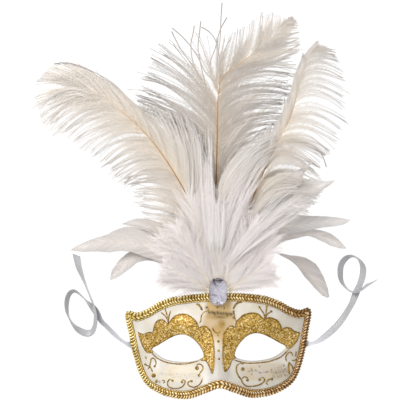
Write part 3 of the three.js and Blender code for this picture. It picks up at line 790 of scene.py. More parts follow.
# Gold lines squeezed onto the face: half width, then points on the plan
LID_LEFT = [(-64.1, -1.9), (-60.7, -6.6), (-56.1, -10.5), (-46.7, -14.2), (-32.4, -15.2), (-18.2, -12.3)]
LID_RIGHT = [
    (12, -10.7), (16.4, -12.9), (26.6, -15.4), (42.5, -14.9), (49.7, -13.4), (56.9, -10.7), (65.5, -3.2),
]
BROW_LINES = [
    (0.6, [(-46.3, 21.6), (-46.6, 25), (-49, 29), (-52.9, 32.6)]),
    (0.6, [(-46.4, 23), (-47, 29), (-49.3, 37.1)]), (0.6, [(-46.2, 23), (-45.4, 28.5), (-43.8, 33.9)]),
    (0.6, [(42.5, 24.8), (41.5, 29.5), (37.7, 35.6)]), (0.6, [(42.6, 25), (43.4, 30), (44.4, 35.8)]),
    (0.6, [(42.7, 25), (44.8, 29), (48.5, 31.4)]),
    (1.0, [(-20.5, 39.5), (-18.4, 39.2), (-16.4, 37), (-14.6, 33.7)]),
    (
        0.55,
        [(-9.3, 35.8), (-9.6, 33.6), (-12.5, 32.6), (-15, 30.2), (-16, 27), (-16.6, 23.6), (-18.3, 22.1)],
    ),
    (1.0, [(22, 40.5), (19, 40.6), (16.2, 38.8), (14.2, 36), (13.8, 34.3)]),
    (0.55, [(13, 32.5), (14.4, 30), (14.7, 26.9), (15.7, 23.3)]),
    (0.7, [(-6.1, 18), (-3.9, 14.5), (-0.9, 12.3)]), (0.45, [(1.4, 14.6), (-0.9, 12.3), (-0.6, 9.8)]),
]
CHEEK_LINES = [
    (0.6, [(-68.2, -15.9), (-66.1, -17), (-64, -17.8), (-62.5, -20), (-61.6, -23.1)]),
    (
        0.6,
        [
            (-66.1, -20.6), (-64.6, -18.6), (-63.6, -15), (-62.5, -10.8), (-60.4, -10.1), (-58.6, -12.2),
            (-58.3, -15.5), (-59.5, -17.5),
        ],
    ),
    (0.5, [(-67.7, -8.2), (-67.2, -11)]), (0.6, [(-53, -30), (-50.6, -31), (-51.6, -33.1)]),
    (
        0.6,
        [
            (-43.4, -30.2), (-46, -29.4), (-47.8, -32.4), (-46.8, -36), (-42, -37.6), (-36.5, -36.9),
            (-33, -34.5), (-31.6, -30.6), (-34, -29.6), (-34.6, -32),
        ],
    ),
    (
        0.6,
        [
            (-26.3, -30.4), (-28.9, -31.8), (-28.4, -34.6), (-24, -36.1), (-19.6, -34.4), (-16.8, -31.3),
            (-15.7, -27.4),
        ],
    ),
    (
        0.6,
        [
            (-20.6, -18.2), (-20.2, -15.8), (-17.9, -15.2), (-15.4, -16.8), (-15.2, -19.6), (-17, -22.2),
            (-18.8, -24.6),
        ],
    ),
    (
        0.65,
        [
            (21, -15.1), (17.9, -15.7), (15.5, -18.1), (15.4, -22), (17.3, -26.6), (19.7, -29.8), (21, -33),
            (24.6, -36), (29.5, -36.4), (34, -35.9), (38, -34.6), (41.2, -31.6), (39.6, -28.6), (36.5, -30),
        ],
    ),
    (0.55, [(20, -29.2), (22.5, -27.5), (25.4, -28.7), (25.3, -31)]),
    (0.6, [(47.9, -30.4), (45, -31.1), (42.8, -33.9), (44.6, -35.8)]),
    (0.6, [(62, -15.4), (61.3, -11.6), (63, -8.2), (65.4, -6.7), (67.3, -8.3), (68.1, -10.6)]),
    (0.55, [(71.2, -6.2), (70.9, -8.8), (70.6, -11.4)]),
    (0.6, [(67, -14.3), (69.2, -14.8), (71.2, -13.6), (72.6, -12.2), (73.6, -13.2)]),
    (0.85, [(64.4, -16.4), (63.8, -20), (63.9, -23.2), (64.8, -27.6)]),
    (0.6, [(64.6, -16.8), (66.9, -19.4), (68.2, -23.8), (66.8, -27.4)]),
]
# Round drops of the same gold: x, y, radius
GOLD_DROPS = [
    (-0.6, 5.3, 1.2), (-0.6, -3.1, 1.2), (-0.3, -10.4, 1.1), (-60.6, -26, 2.1), (-58.2, -31.6, 1.3),
    (-59.5, -17.5, 1.1), (-43.2, -30.4, 1.2), (-34.4, -31.6, 1.2), (-25.9, -30.6, 1.3), (-20.5, -18.8, 1.9),
    (-18.8, -25.4, 1.3), (-68.2, -15.9, 1.1), (21.2, -20.4, 1.7), (21, -15.1, 1.4), (25.3, -30.6, 1.4),
    (36.6, -30.6, 1.3), (48, -30.6, 1.3), (64.5, -17.2, 1.3), (71.9, -18.4, 1.4), (73.4, -12.1, 1.1),
    (37.6, 35.7, 1.1), (44.4, 36, 1.1), (48.6, 31.4, 1.1), (-1, 36.3, 0.8), (5.3, 35.5, 0.8),
    (8.4, 29.5, 0.7), (-10, 36.8, 0.7), (12.4, 16.6, 1.2), (40.6, 23.2, 1.3), (46.6, 21.4, 1.4),
    (-17, 15.4, 1.2),
]
LINE_HEIGHT = 0.55
LINE_HALF = 0.6
LINE_STEP = 0.55
# How far lines and drops reach into the shell
LINE_SINK = 0.1
# A line is drawn out over this share of its length at each end, to this share of its width
LINE_TAPER = 0.12
LINE_TIP = 0.35
LINE_SIDES = 6
DROP_SIDES = 12
DROP_RINGS = np.radians([0, 22, 45, 67, 86])
# Line round the upper half of each eye: half width, how much larger than the opening, and its lowest y
EYE_LINE_HALF, EYE_LINE_GROWTH, EYE_LINE_LOWEST = 0.45, 1.012, -3.5


def face_line(half_width, points):
    """One squeezed line: a half-round section carried along a spline on the face, drawn out thin at both
    ends."""
    length = np.linalg.norm(np.diff(np.asarray(points, float), axis=0), axis=1).sum()
    rings = max(6, int(length / LINE_STEP)) + 1
    share = np.linspace(0, 1, rings)
    plan, forward = route(points, share)
    side = np.stack([-forward[:, 1], forward[:, 0]], -1)[:, None]
    ends = np.minimum(smoothstep(share, 0, LINE_TAPER), smoothstep(1 - share, 0, LINE_TAPER))
    size = mix(LINE_TIP, 1, ends)[:, None]
    turn = np.linspace(0, np.pi, LINE_SIDES)
    spread = plan[:, None] + side * (np.cos(turn) * half_width * size)[..., None]
    lift = (LINE_SINK + LINE_HEIGHT) * np.sin(turn) * size - LINE_SINK
    section = on_face(spread[..., 0], spread[..., 1], lift).reshape(-1, 3)
    return section, [grid_quads(rings, LINE_SIDES, closed_columns=True), *end_caps(LINE_SIDES, rings)]


def face_drop(x, y, radius):
    """One drop: rings of a low dome, its height half its radius."""
    turn = np.arange(DROP_SIDES) / DROP_SIDES * 2 * np.pi
    out, up = np.cos(DROP_RINGS)[:, None], np.sin(DROP_RINGS)[:, None]
    spread_x = x + radius * out * np.cos(turn)
    spread_y = y + radius * out * np.sin(turn)
    lift = np.broadcast_to((LINE_SINK + radius * 0.5) * up - LINE_SINK, spread_x.shape)
    body = grid_quads(len(DROP_RINGS), DROP_SIDES, closed_columns=True)[:, ::-1]
    foot, top = end_caps(DROP_SIDES, len(DROP_RINGS))
    return on_face(spread_x, spread_y, lift).reshape(-1, 3), [body, top, foot]


def build_scrolls(look):
    """All raised gold lines and drops, as one piece lying on the shell."""
    eye, _ = route(EYE_OUTLINE, np.linspace(0, 1, 60, endpoint=False), closed=True)
    grown = mix(eye.mean(0), eye, EYE_LINE_GROWTH)
    borders = (PANEL_LEFT, PANEL_LEFT_OUTER, PANEL_RIGHT, LID_LEFT, LID_RIGHT)
    lines = [*((LINE_HALF, points) for points in borders), *BROW_LINES, *CHEEK_LINES]
    for side in (1, -1):
        upper = [(side * x, y) for x, y in grown[grown[:, 1] > EYE_LINE_LOWEST]]
        lines.append((EYE_LINE_HALF, sorted(upper, key=lambda point: point[0])))
    points, faces = joined([face_line(*line) for line in lines] + [face_drop(*drop) for drop in GOLD_DROPS])
    gold = gold_paste_material(look)
    make_piece("gold_scroll_lines", points, faces, [gold], "mask_shell")


# Braid

BRAID_WIDTH = 7.0
BRAID_THICKNESS = 1.7
BRAID_INSET = 0.4
BRAID_STANDOFF = 0.5
# Depth of its underside below the standoff
BRAID_SINK = 0.35
# Least gap under the braid and under the stone
GAP = 0.3
BRAID_ACROSS = 19
STATIONS_PER_LOBE = 8
# Rows of lobes: middle, half width, lean, and the painted brightness of their crowns
BRAID_ROWS = [(0.17, 0.19, 0.8, 1.0), (0.6, 0.23, -1.5, 1.05)]
LOBE_TONES = (0.58, 1.15)
# Painted shade: the row of teeth is darker at the right side of the face, which lies away from the lamp: by
# this share, from and to these x
SHADED, SHADED_FROM, SHADED_TO = 0.6, 50, 72
# How far the teeth of the first row stand out, and how far in that is felt, as shares of the width
TOOTH, TOOTH_REACH = 0.16, 0.3
CORD_PLACE, CORD_HALF = 0.92, 0.08


def rim_points():
    """The whole rim, clockwise from the top of the forehead."""
    half = [*TOP_EDGE, *SIDE_EDGE[1:], *LOWER_EDGE[1:]]
    return [*half, *mirrored(half)[1:-1]]


def half_round(place):
    """Height of a half circle of radius 1, and 0 past it."""
    return np.sqrt(np.maximum(1 - place ** 2, 0))


def braid_relief(phase, across, edge_x, lobes):
    """Height of the braid, and its painted light: highlights on the crowns of the lobes and shade in the
    furrows. A lobe's height is a half round across its row times a half wave along the rim; phase counts
    lobes."""
    wobble = 0.06 * np.sin(phase * 2.4) + 0.05 * np.sin(phase * 0.77)
    cord = half_round((across - CORD_PLACE) / CORD_HALF) * (0.75 + 0.25 * np.sin(phase * 2 * np.pi))
    height = 0.5 * cord
    painted_light = 0.85 * cord
    rng = np.random.default_rng(8)
    # Painted shade on the right side, for the row of teeth only
    shade = 1 - SHADED * smoothstep(edge_x, SHADED_FROM, SHADED_TO)
    for (middle, half, lean, row_light), row_shade in zip(BRAID_ROWS, (shade, 1)):
        dome = half_round((across - middle) / half)
        turn = phase + wobble + lean * (across - middle)
        lobe = np.abs(np.sin(np.pi * turn))
        own = rng.uniform(*LOBE_TONES, lobes)[np.floor(turn).astype(int) % lobes] * row_shade
        height = np.maximum(height, dome * (0.35 + 0.65 * lobe ** 0.7))
        painted_light = np.maximum(painted_light, row_light * own * dome ** 0.8 * lobe ** 1.7)
    return height, painted_light


def build_braid(look):
    """Gimp braid: a row of teeth, a row of slanted lobes, a furrow between them and a thin cord at the
    inner edge."""
    rim = rim_points()
    dense, _ = route(rim, np.linspace(0, 1, 600, endpoint=False), closed=True)
    length = np.linalg.norm(np.diff(dense, axis=0, append=dense[:1]), axis=1).sum()
    lobes = round(length / look.braid_pitch)
    stations = lobes * STATIONS_PER_LOBE
    share = np.arange(stations) / stations
    edge, forward = route(rim, share, closed=True)
    inward = np.stack([forward[:, 1], -forward[:, 0]], -1)
    normal = face_normal(edge[:, 0] + inward[:, 0] * 3, edge[:, 1] + inward[:, 1] * 3)
    slope = np.hypot((normal[:, :2] * inward).sum(1), normal[:, 2])
    reach = np.abs(normal[:, 2]) / slope
    across = np.linspace(0, 1, BRAID_ACROSS)[None]
    phase = share[:, None] * lobes
    height, painted_light = braid_relief(phase, across, edge[:, :1], lobes)
    tooth_middle, _, tooth_lean, _ = BRAID_ROWS[0]
    teeth = np.abs(np.sin(np.pi * (phase - tooth_lean * tooth_middle))) ** 1.4
    bulge = TOOTH * teeth * (1 - across / TOOTH_REACH).clip(0, 1)
    distance = (BRAID_INSET + (across - bulge) * BRAID_WIDTH) * reach[:, None]
    x, y = (edge[:, None] + inward[:, None] * distance[..., None]).transpose(2, 0, 1)
    top = on_face(x, y, BRAID_STANDOFF + height * BRAID_THICKNESS)
    under = on_face(x[:, ::-1], y[:, ::-1], np.full_like(x, BRAID_STANDOFF - BRAID_SINK))[:, ::6]
    ring = np.concatenate([top, under], axis=1)
    ring[..., 2] = np.maximum(ring[..., 2], GAP)
    # Painted highlights on the lobes and painted shade between them, none on the underside
    lobe_light_and_shade = np.concatenate([painted_light, np.zeros(under.shape[:2])], axis=1)
    faces = [grid_quads(stations, ring.shape[1], closed_rows=True, closed_columns=True)]
    make_piece(
        "gimp_braid", ring.reshape(-1, 3), faces, [braid_material(look)], "edge_braid",
        fields={"lobe_light_and_shade": lobe_light_and_shade.ravel()},
    )


# Stone

GEM_WIDTH = 17.0
GEM_LENGTH = 26.0
GEM_SQUARING = 0.72
GEM_HEIGHT = 6.5
GEM_LOW_Y = 38.5
GEM_TILT = math.radians(14)
GEM_SIDES = 16
# Rings of the stone and of the foil: share of the width and length, share of the height, and turn in steps
GEM_RINGS = [(0.92, 0.0, 0.0), (1.0, 0.2, 0.0), (0.97, 0.4, 0.0), (0.8, 0.8, 0.5), (0.56, 1.0, 0.0)]
FOIL_RINGS = [
    (0.96, 0.26, 0.0), (0.87, 0.22, 0.5), (0.76, 0.17, 0.0), (0.64, 0.13, 0.5), (0.5, 0.09, 0.0),
    (0.36, 0.06, 0.5), (0.22, 0.04, 0.0), (0.1, 0.03, 0.5),
]
FOIL_SIDES = 32
# How far the foil lies below its rings, and its thickness
FOIL_DROP = 0.9
FOIL_WALL = 0.4
# Painted dark reflections in the foil: from x, y to x, y along the stone, then half width and depth
FOIL_MARKS = [
    (-4.6, 23.2, -1.6, 24.8, 0.9, 0.9), (-1.6, 24.8, 1.2, 23.2, 0.8, 0.7),
    (-3.5, 22.2, -2.1, 17.8, 1.0, 0.85), (0.6, 20.4, 3.2, 21.6, 1.0, 0.85),
    (-2.4, 21.6, 0.8, 21.4, 0.8, 0.6), (4.2, 24.0, 5.0, 22.8, 0.8, 0.4), (-6.8, 21.0, -5.8, 9.0, 0.9, 0.35),
    (-6.3, 9.0, -5.3, 2.5, 1.0, 0.5), (-3.4, 10.0, -2.2, 8.6, 1.2, 0.35), (-0.5, 2.4, 0.6, 1.2, 1.0, 0.5),
    (-0.5, 15.0, 0.0, 11.0, 1.3, 0.2), (2.5, 8.0, 5.4, 2.6, 0.9, 0.25),
]
# How much lower the glass makes a place on the foil look
FOIL_SHIFT = 1.0


def squared(wave):
    """A sine or cosine made squarer: its size to the power 0.72, with its sign."""
    return np.sign(wave) * np.abs(wave) ** GEM_SQUARING


def gem_rings(rings, sides):
    """Points of squared rings, tilted as the stone leans on the braid."""
    points = []
    for share, height, turn in rings:
        angle = (np.arange(sides) + turn) / sides * 2 * np.pi
        x = squared(np.cos(angle)) * GEM_WIDTH / 2 * share
        y = (1 + squared(np.sin(angle)) * share) * GEM_LENGTH / 2
        points.append(np.stack([x, y, np.full(sides, height * GEM_HEIGHT)], -1))
    flat = np.concatenate(points)
    foot = float(face_height(np.array(0.0), np.array(GEM_LOW_Y + 1)))
    y = flat[:, 1] * math.cos(GEM_TILT) - flat[:, 2] * math.sin(GEM_TILT) + GEM_LOW_Y
    z = flat[:, 1] * math.sin(GEM_TILT) + flat[:, 2] * math.cos(GEM_TILT)
    return np.stack([flat[:, 0], y, z + foot + BRAID_STANDOFF + BRAID_THICKNESS + GAP], -1)


def ring_facets(start, turned, sides):
    """Facets between one ring of the stone and the next. A ring turned by half a step gives triangles, and
    one in line gives flat steps."""
    here = np.arange(sides) + start
    after = np.roll(here, -1)
    up, up_after = here + sides, after + sides
    if turned == 0:
        return np.stack([here, after, up_after, up], -1)
    if turned > 0:
        return np.concatenate([np.stack([here, after, up], -1), np.stack([after, up_after, up], -1)])
    return np.concatenate([np.stack([here, after, up_after], -1), np.stack([here, up_after, up], -1)])


def foil_tones(middles):
    """Tone of each facet of the foil, with painted reflections: mostly pale and a little uneven, near white
    along both sides as a painted reflection, less a bell round each painted dark reflection's line."""
    place = np.stack([middles[:, 0], (middles[:, 1] - GEM_LOW_Y) / math.cos(GEM_TILT) - FOIL_SHIFT], -1)
    tone = np.random.default_rng(9).uniform(0.55, 0.95, len(middles))
    tone = mix(tone, 1.0, smoothstep(np.abs(middles[:, 0]), 6.2, 7.6))
    for x0, y0, x1, y1, radius, depth in FOIL_MARKS:
        start, step = np.array([x0, y0]), np.array([x1 - x0, y1 - y0])
        share = np.clip(((place - start) @ step) / (step @ step), 0, 1)
        away = np.linalg.norm(place - start - share[:, None] * step, axis=1)
        tone = tone - depth * bell(away, radius)
    return np.clip(tone, 0.02, 1)


def faceted(rings, sides):
    """Points of the rings and the facets between each ring and the next."""
    turns = np.diff([turn for _, _, turn in rings])
    return gem_rings(rings, sides), [ring_facets(k * sides, turn, sides) for k, turn in enumerate(turns)]


def build_gem():
    """Cut stone: a girdle, two rows of facets and a table over a low pavilion, with a silver foil cup
    below."""
    glass, foil = crystal_materials()
    points, facets = faceted(GEM_RINGS, GEM_SIDES)
    faces = [*facets, *end_caps(GEM_SIDES, len(GEM_RINGS))]
    make_piece("cut_stone", points, faces, [glass], "brow_gem", smooth=False)
    cup, facets = faceted(FOIL_RINGS, FOIL_SIDES)
    _, floor = end_caps(FOIL_SIDES, len(FOIL_RINGS))
    cup = cup - UP * FOIL_DROP
    points = np.concatenate([cup, cup - UP * FOIL_WALL])
    back = [f[:, ::-1] + len(cup) for f in (*facets, floor)]
    rim = np.stack([np.roll(np.arange(FOIL_SIDES), -1), np.arange(FOIL_SIDES)], -1)
    faces = [*facets, floor, *back, np.concatenate([rim, rim[:, ::-1] + len(cup)], 1)]
    tone = foil_tones(np.concatenate([points[f].mean(1) for f in faces]))
    make_piece(
        "stone_foil", points, faces, [foil], "brow_gem", face_fields={"tone": tone}, smooth=False,
    )


# Feathers

# Each long plume: its shaft; (share of the shaft, x, y) of the barb ends on either side; the heights of its
# root and tip, how steeply it rises and how far it reaches; stretches of bare shaft; tones, and how much
# paler they get at the tip; leaving angle of the barbs, in degrees, at the root and at the tip; sides with
# a smooth edge; (from, to, share kept) where barbs are missing; (share of the shaft, place on the colour
# ramp) of the barbs' ends; loose strands; and sheaves of barbs laid over it: number, lift, tones, two
# guides, and the end on the ramp if not 0.7
OSTRICH = {
    "ostrich_plume_centre": {
        "shaft": [(-1, 43), (0, 143), (2, 202), (3, 229), (8, 248), (21, 258), (41, 273), (74, 301)],
        "left": [
            (0.13, -19, 122), (0.25, -40, 154), (0.33, -60, 187), (0.41, -75, 215), (0.47, -77, 232),
            (0.52, -73, 250), (0.56, -66, 266), (0.6, -54, 280), (0.64, -36, 291), (0.66, -10, 294),
            (0.68, 8, 288), (0.71, 18, 291), (0.74, 28, 299), (0.78, 38, 304), (0.82, 46, 310),
            (0.87, 53, 309), (0.92, 60, 307), (0.97, 70, 303),
        ],
        "right": [
            (0.13, 18, 121), (0.25, 30, 153), (0.33, 43, 173), (0.41, 55, 188), (0.51, 67, 214),
            (0.6, 75, 237), (0.7, 80, 260), (0.76, 82, 272), (0.85, 83, 281), (0.91, 81, 289),
            (0.97, 78, 296),
        ],
        # The centre plume's low tones are painted shade, as it lies under the left and right plumes; its tip,
        # which comes out from under them, is painted paler
        "root": 26, "rise": 0.12, "tip": 1.4, "reach": 268, "bare": [(0, 0.82)], "tones": (0.06, 0.5),
        "pale_tip": 0.25, "leave": {"left": (42, 20), "right": (44, 26)},
        "thinned": {
            "left": [(0.62, 0.68, 0.3), (0.68, 1, 0.6), (0.88, 1, 0.5)],
            "right": [(0.62, 1, 0.75), (0.88, 1, 0.5)],
        },
        "fade": [(0, 0.45), (0.2, 0.55), (0.35, 0.85), (0.45, 1), (0.62, 1), (0.72, 0.7), (1, 0.55)],
        "strands": [
            [(2, 238), (3, 262), (6, 283), (7, 300), (8.5, 317)],
            [(2, 244), (-4, 258), (1.5, 275), (6, 291), (12.6, 303)],
            [(4, 240), (5.5, 262), (2, 281), (-4, 290), (-11, 294.5)],
            [(-8, 240), (-12, 258), (-14.5, 275), (-13, 288), (-11.5, 300)],
            [(-15, 250), (-20, 265), (-21, 279), (-19, 288), (-17.5, 296)],
            [(2, 243), (-8, 252), (-14.5, 266), (-23, 279), (-30, 287), (-38, 294)],
            [(-12, 246), (-22, 262), (-29, 272), (-34, 281), (-38.5, 291)],
        ],
        "sheaves": [
            (
                112, 3, (0.75, 1.0), [(-1, 80), (-6, 117), (-12, 145), (-17, 172), (-20, 202)],
                [(0, 80), (0, 117), (-2, 145), (-3, 172), (-2, 205)],
            ),
            # Painted shade: this sheaf lies under the left plume, so its tones are low
            (
                64, 0, (0.05, 0.5), [(0, 140), (-18, 172), (-42, 200), (-70, 216)],
                [(0, 160), (-20, 196), (-46, 220), (-76, 236)], 0.8,
            ),
            (
                60, 0, (0.4, 0.9), [(1, 138), (20, 166), (42, 188), (60, 200)],
                [(2, 196), (24, 222), (50, 242), (74, 253)], 0.85,
            ),
        ],
    },
    "ostrich_plume_left": {
        "shaft": [
            (-4, 44), (-15, 94), (-24, 129), (-34.5, 153.6), (-56, 187), (-80, 212.5), (-108, 234),
            (-131, 240.5),
        ],
        "left": [
            (0.1, -47, 99), (0.21, -70, 118), (0.36, -76, 146), (0.45, -84, 151), (0.54, -97, 157),
            (0.61, -110, 171), (0.67, -122, 178), (0.72, -133, 189), (0.77, -143, 200), (0.84, -158, 203),
            (0.9, -164, 209), (0.94, -170, 219), (0.975, -171, 229), (0.995, -170, 237),
        ],
        "right": [
            (0.1, 0, 140), (0.21, -10, 178), (0.33, -25, 209), (0.38, -33, 212), (0.46, -55, 221),
            (0.5, -62, 222), (0.56, -77, 224), (0.62, -86, 234), (0.68, -100, 247), (0.74, -113, 255.5),
            (0.8, -128, 262.5), (0.86, -142, 263.5), (0.91, -151, 261), (0.95, -157, 255), (0.98, -162, 249),
            (0.995, -166, 243),
        ],
        "root": 29.5, "rise": 0.24, "tip": 1.4, "reach": 262, "bare": [(0, 0.8)], "tones": (0.4, 0.95),
        "leave": {"left": (50, 16), "right": (40, 24)}, "smooth": ("right",),
        "thinned": {"left": [(0.635, 0.66, 0.1), (0.66, 1, 0.8)]},
        "fade": [(0, 0.5), (0.3, 0.7), (0.5, 0.85), (0.75, 0.75), (1, 0.45)],
        "strands": [
            [
                (-72, 206), (-77, 219), (-84, 234), (-95, 245), (-110, 254), (-125, 261), (-137, 264),
                (-148, 263),
            ],
        ],
        "sheaves": [
            (
                70, 2, (0.7, 1.0), [(-9, 78), (-18, 112), (-25, 140), (-27, 172), (-34, 196), (-46, 212)],
                [(-6, 78), (-12, 112), (-14, 140), (-11, 172), (-12, 196), (-19, 214)],
            ),
            (
                26, 2, (0.75, 1.0), [(-110, 233), (-129, 240), (-143, 237), (-155, 231), (-166, 222)],
                [(-110, 229), (-127, 234), (-141, 231), (-153, 225), (-164, 218)],
            ),
        ],
    },
    "ostrich_plume_right": {
        "shaft": [
            (3, 50.6), (20, 103), (36, 142.4), (51, 175), (65.6, 203), (71.6, 217), (78.5, 241.6), (85, 261),
            (95, 276),
        ],
        "left": [
            (0.11, 6, 128), (0.27, 22, 172), (0.36, 36, 190), (0.45, 50, 203), (0.55, 62, 212),
            (0.62, 67, 225), (0.69, 72, 240), (0.75, 76, 252), (0.81, 83, 266), (0.87, 88, 274),
            (0.93, 93, 279), (0.98, 97, 281),
        ],
        "right": [
            (0.11, 45, 100), (0.2, 70, 115), (0.27, 84, 124), (0.34, 95, 133), (0.4, 100, 141),
            (0.44, 101, 146), (0.5, 97, 156), (0.55, 98, 166), (0.6, 108, 175), (0.64, 118, 183),
            (0.69, 122, 195), (0.74, 123, 209), (0.79, 124, 226), (0.84, 125, 240), (0.88, 121, 253),
            (0.92, 117, 262), (0.96, 113, 270.5), (0.975, 111, 272), (0.98, 97, 278), (0.995, 92, 277),
        ],
        "root": 30.5, "rise": 0.3, "tip": 14, "reach": 247, "bare": [(0, 0.56), (0.67, 0.79)],
        "tones": (0.5, 1.0), "leave": {"left": (40, 18), "right": (38, 16)},
        "thinned": {
            "right": [(0.455, 0.485, 0.0), (0.61, 0.91, 0.28), (0.955, 1, 0.5)],
            "left": [(0.6, 1, 0.7), (0.88, 1, 0.5)],
        },
        "fade": [(0, 0.55), (0.35, 0.75), (0.5, 0.85), (0.6, 1), (0.85, 1), (1, 0.8)],
        "strands": [[(66, 186), (80, 186), (92, 181), (98, 172), (101, 163)]],
        "sheaves": [
            (
                96, 4, (0.75, 1.0), [(6, 112), (15, 134), (28, 150), (42, 164), (54, 173), (64, 178)],
                [(0, 130), (4, 150), (14, 168), (29, 184), (45, 193), (60, 196)], 0.75,
            ),
            (
                24, 9, (0.6, 1.0),
                [(42, 155), (51, 167), (61, 172), (72, 168.5), (82, 163.5), (89, 158), (98, 151)],
                [(41, 150), (50, 161), (60, 167), (72, 164), (82, 160), (90, 155), (98, 150)],
            ),
            (
                60, 9, (0.6, 1.0), [(34, 132), (46, 150), (58, 158), (70, 157), (82, 152), (95, 148)],
                [(24, 108), (40, 126), (54, 136), (68, 139), (84, 138), (99, 141)],
            ),
        ],
    },
}
# Each smooth feather: shaft, then (share, distance) along the left and the right edge of its blade, the
# height of its root, how steeply it rises, the height of its tip, its tones and, where it has them, the
# share at which its barbs begin and the sides that are frayed
HACKLES = {
    "hackle_left_upper": {
        "shaft": [(-5, 46), (-34, 94), (-61, 111), (-87, 114)],
        "left": [(0.3, 6), (0.7, 7), (0.82, 4.2), (0.9, 1.7), (1, 0.1)],
        "right": [(0.3, 6), (0.7, 6.5), (0.82, 5.6), (0.89, 5.1), (0.94, 3.5), (1, 0.1)],
        "root": 24.5, "rise": 0.06, "tip": 14, "tones": (0.1, 0.4),
    },
    "hackle_left_middle": {
        "shaft": [(-6, 46), (-43, 83), (-80, 97), (-107, 97), (-135, 91)],
        "left": [(0.3, 9), (0.5, 9.6), (0.61, 8.2), (0.76, 9.4), (0.93, 4.4), (1, 0.1)],
        "right": [
            (0.3, 9), (0.5, 13), (0.62, 14), (0.67, 12.8), (0.76, 6.4), (0.89, 3.8), (0.95, 2.4), (1, 0.1),
        ],
        "root": 22.5, "rise": 0.02, "tip": 5, "tones": (0.1, 0.5),
    },
    "hackle_left_lower": {
        "shaft": [(-7, 46), (-48, 79), (-71, 84), (-84, 78), (-99, 63)],
        "left": [(0.3, 4), (0.63, 4), (0.71, 5), (0.81, 6), (0.92, 4.2), (1, 0.6)],
        "right": [(0.3, 5), (0.74, 6.3), (0.84, 6), (0.94, 4.4), (1, 0.6)],
        "root": 20.5, "rise": -0.02, "tip": 1.2, "tones": (0.15, 0.5),
    },
    "hackle_right_top": {
        "shaft": [(4, 50.6), (36, 121), (64, 148), (89, 169)],
        "left": [(0.3, 6), (0.7, 6), (0.85, 4), (0.91, 1.8), (1, 0.1)],
        "right": [(0.3, 7), (0.7, 8.5), (0.86, 8.5), (0.9, 2.8), (1, 0.1)],
        "root": 33.4, "rise": 0.36, "tip": 44, "tones": (0.2, 0.55),
    },
    "hackle_right_upper": {
        "shaft": [(6, 50.6), (45, 111), (78, 136), (108, 150)],
        "left": [(0.3, 9), (0.6, 14), (0.8, 14), (0.88, 10), (0.93, 4.5), (0.96, 1.4), (1, 0.1)],
        "right": [(0.3, 9), (0.74, 14), (0.79, 13.1), (0.85, 11), (0.9, 6), (0.94, 1.6), (1, 0.1)],
        "root": 32, "rise": 0.33, "tip": 40, "tones": (0.35, 0.8), "fringe": ("right",),
    },
    "hackle_right_middle": {
        "shaft": [(6, 46), (40, 98), (68, 109), (96, 112), (123, 114)],
        "left": [(0.3, 8), (0.67, 9.5), (0.73, 7.3), (0.84, 5.4), (0.93, 2.9), (1, 0.1)],
        "right": [(0.3, 7), (0.71, 6.4), (0.81, 4.4), (0.9, 4.2), (0.96, 3.4), (1, 0.1)],
        "root": 24.5, "rise": 0.04, "tip": 9, "tones": (0.5, 1.0),
    },
    "hackle_right_low": {
        "shaft": [(7, 46), (49, 92), (77, 101), (98, 99), (119, 88)],
        "left": [(0.3, 5), (0.7, 4.3), (0.79, 4.8), (0.86, 5.0), (0.93, 3.5), (1, 0.1)],
        "right": [(0.3, 5), (0.6, 3), (0.72, 1.2), (0.81, 3.9), (0.9, 4.8), (0.96, 2.8), (1, 0.1)],
        "root": 22.5, "rise": 0.02, "tip": 4, "tones": (0.3, 0.8),
    },
    "hackle_right_lower": {
        "shaft": [(8, 46), (42, 83), (63, 81), (81, 67), (102, 43)],
        "left": [(0.5, 0.2), (0.6, 3), (0.69, 10), (0.77, 11.6), (0.87, 8.5), (0.95, 4.6), (1, 0.6)],
        "right": [(0.5, 0.2), (0.68, 1.2), (0.77, 3.6), (0.88, 3.7), (0.96, 3), (1, 0.6)],
        "root": 20.5, "rise": -0.02, "tip": 1.2, "tones": (0.1, 0.5), "first": 0.52,
    },
}
HACKLE_FIRST = 0.25
HACKLE_SWEEP = math.radians(27)
HACKLE_LEAVE = (32, 30)
# The fan of down: how many feathers, their angles from straight up, and their lengths
MARABOU_COUNT = 11
MARABOU_FIRST_ANGLE = -73
MARABOU_STEP_ANGLE = 14.6
MARABOU_SHORTEST = 36
MARABOU_LONGEST = 88
# Their roots lie on a small oval: its middle and its half sizes
DOWN_MIDDLE = np.array([0, 50.6])
DOWN_SPREAD = np.array([9, 2.5])
# Every second down feather is shorter by this share
SHORTER_BY = 0.14
DOWN_SWEEP = math.radians(24)
DOWN_LEAVE = (22, 12)
# Longest barb of the down, and of the sides that lie nearest the table
DOWN_BARB = 46.0
LOWEST_BARB = 24.0
# How far barbs reach past the tip of the shaft, as a share of it
PAST_SHAFT = 0.25
# Place across the map that shafts take
QUILL_BAND = 0.95
QUILL_SIDES = 7
# Barbs as strips: segments, then width at the root and at the tip
PLUME_STRIP = (9, 0.55, 0.36)
SHEAF_STRIP = (10, 0.5, 0.3)
FRINGE_STRIP = (8, 0.6, 0.35)
HACKLE_STRIP = (5, 1.0, 0.8)
DOWN_STRIP = (6, 0.28, 0.12)
STREAM_STRIP = (8, 0.34, 0.14)
# Barbules: longest and shortest, and the share of a barb at which they start
PLUME_FLUFF = (5.6, 0.8)
SHEAF_FLUFF = (3.6, 1.0)
FRINGE_FLUFF = (1.8, 0.8)
DOWN_FLUFF = (5.0, 2.0)
STREAM_FLUFF = (5.0, 2.4)
FLUFF_FIRST = 0.04
# Shares of the shaft between which barbs grow
PLUME_GROWTH = (0.06, 0.995)
DOWN_GROWTH = (0.02, 0.98)
HACKLE_LAST = 0.995
# Loose strands: width at the root and at the end, tone, height over the dish, and segments
STRAND_WIDE, STRAND_FINE, STRAND_TONE, STRAND_LIFT, STRAND_SEGMENTS = 1.1, 0.8, 0.1, 1.0, 16
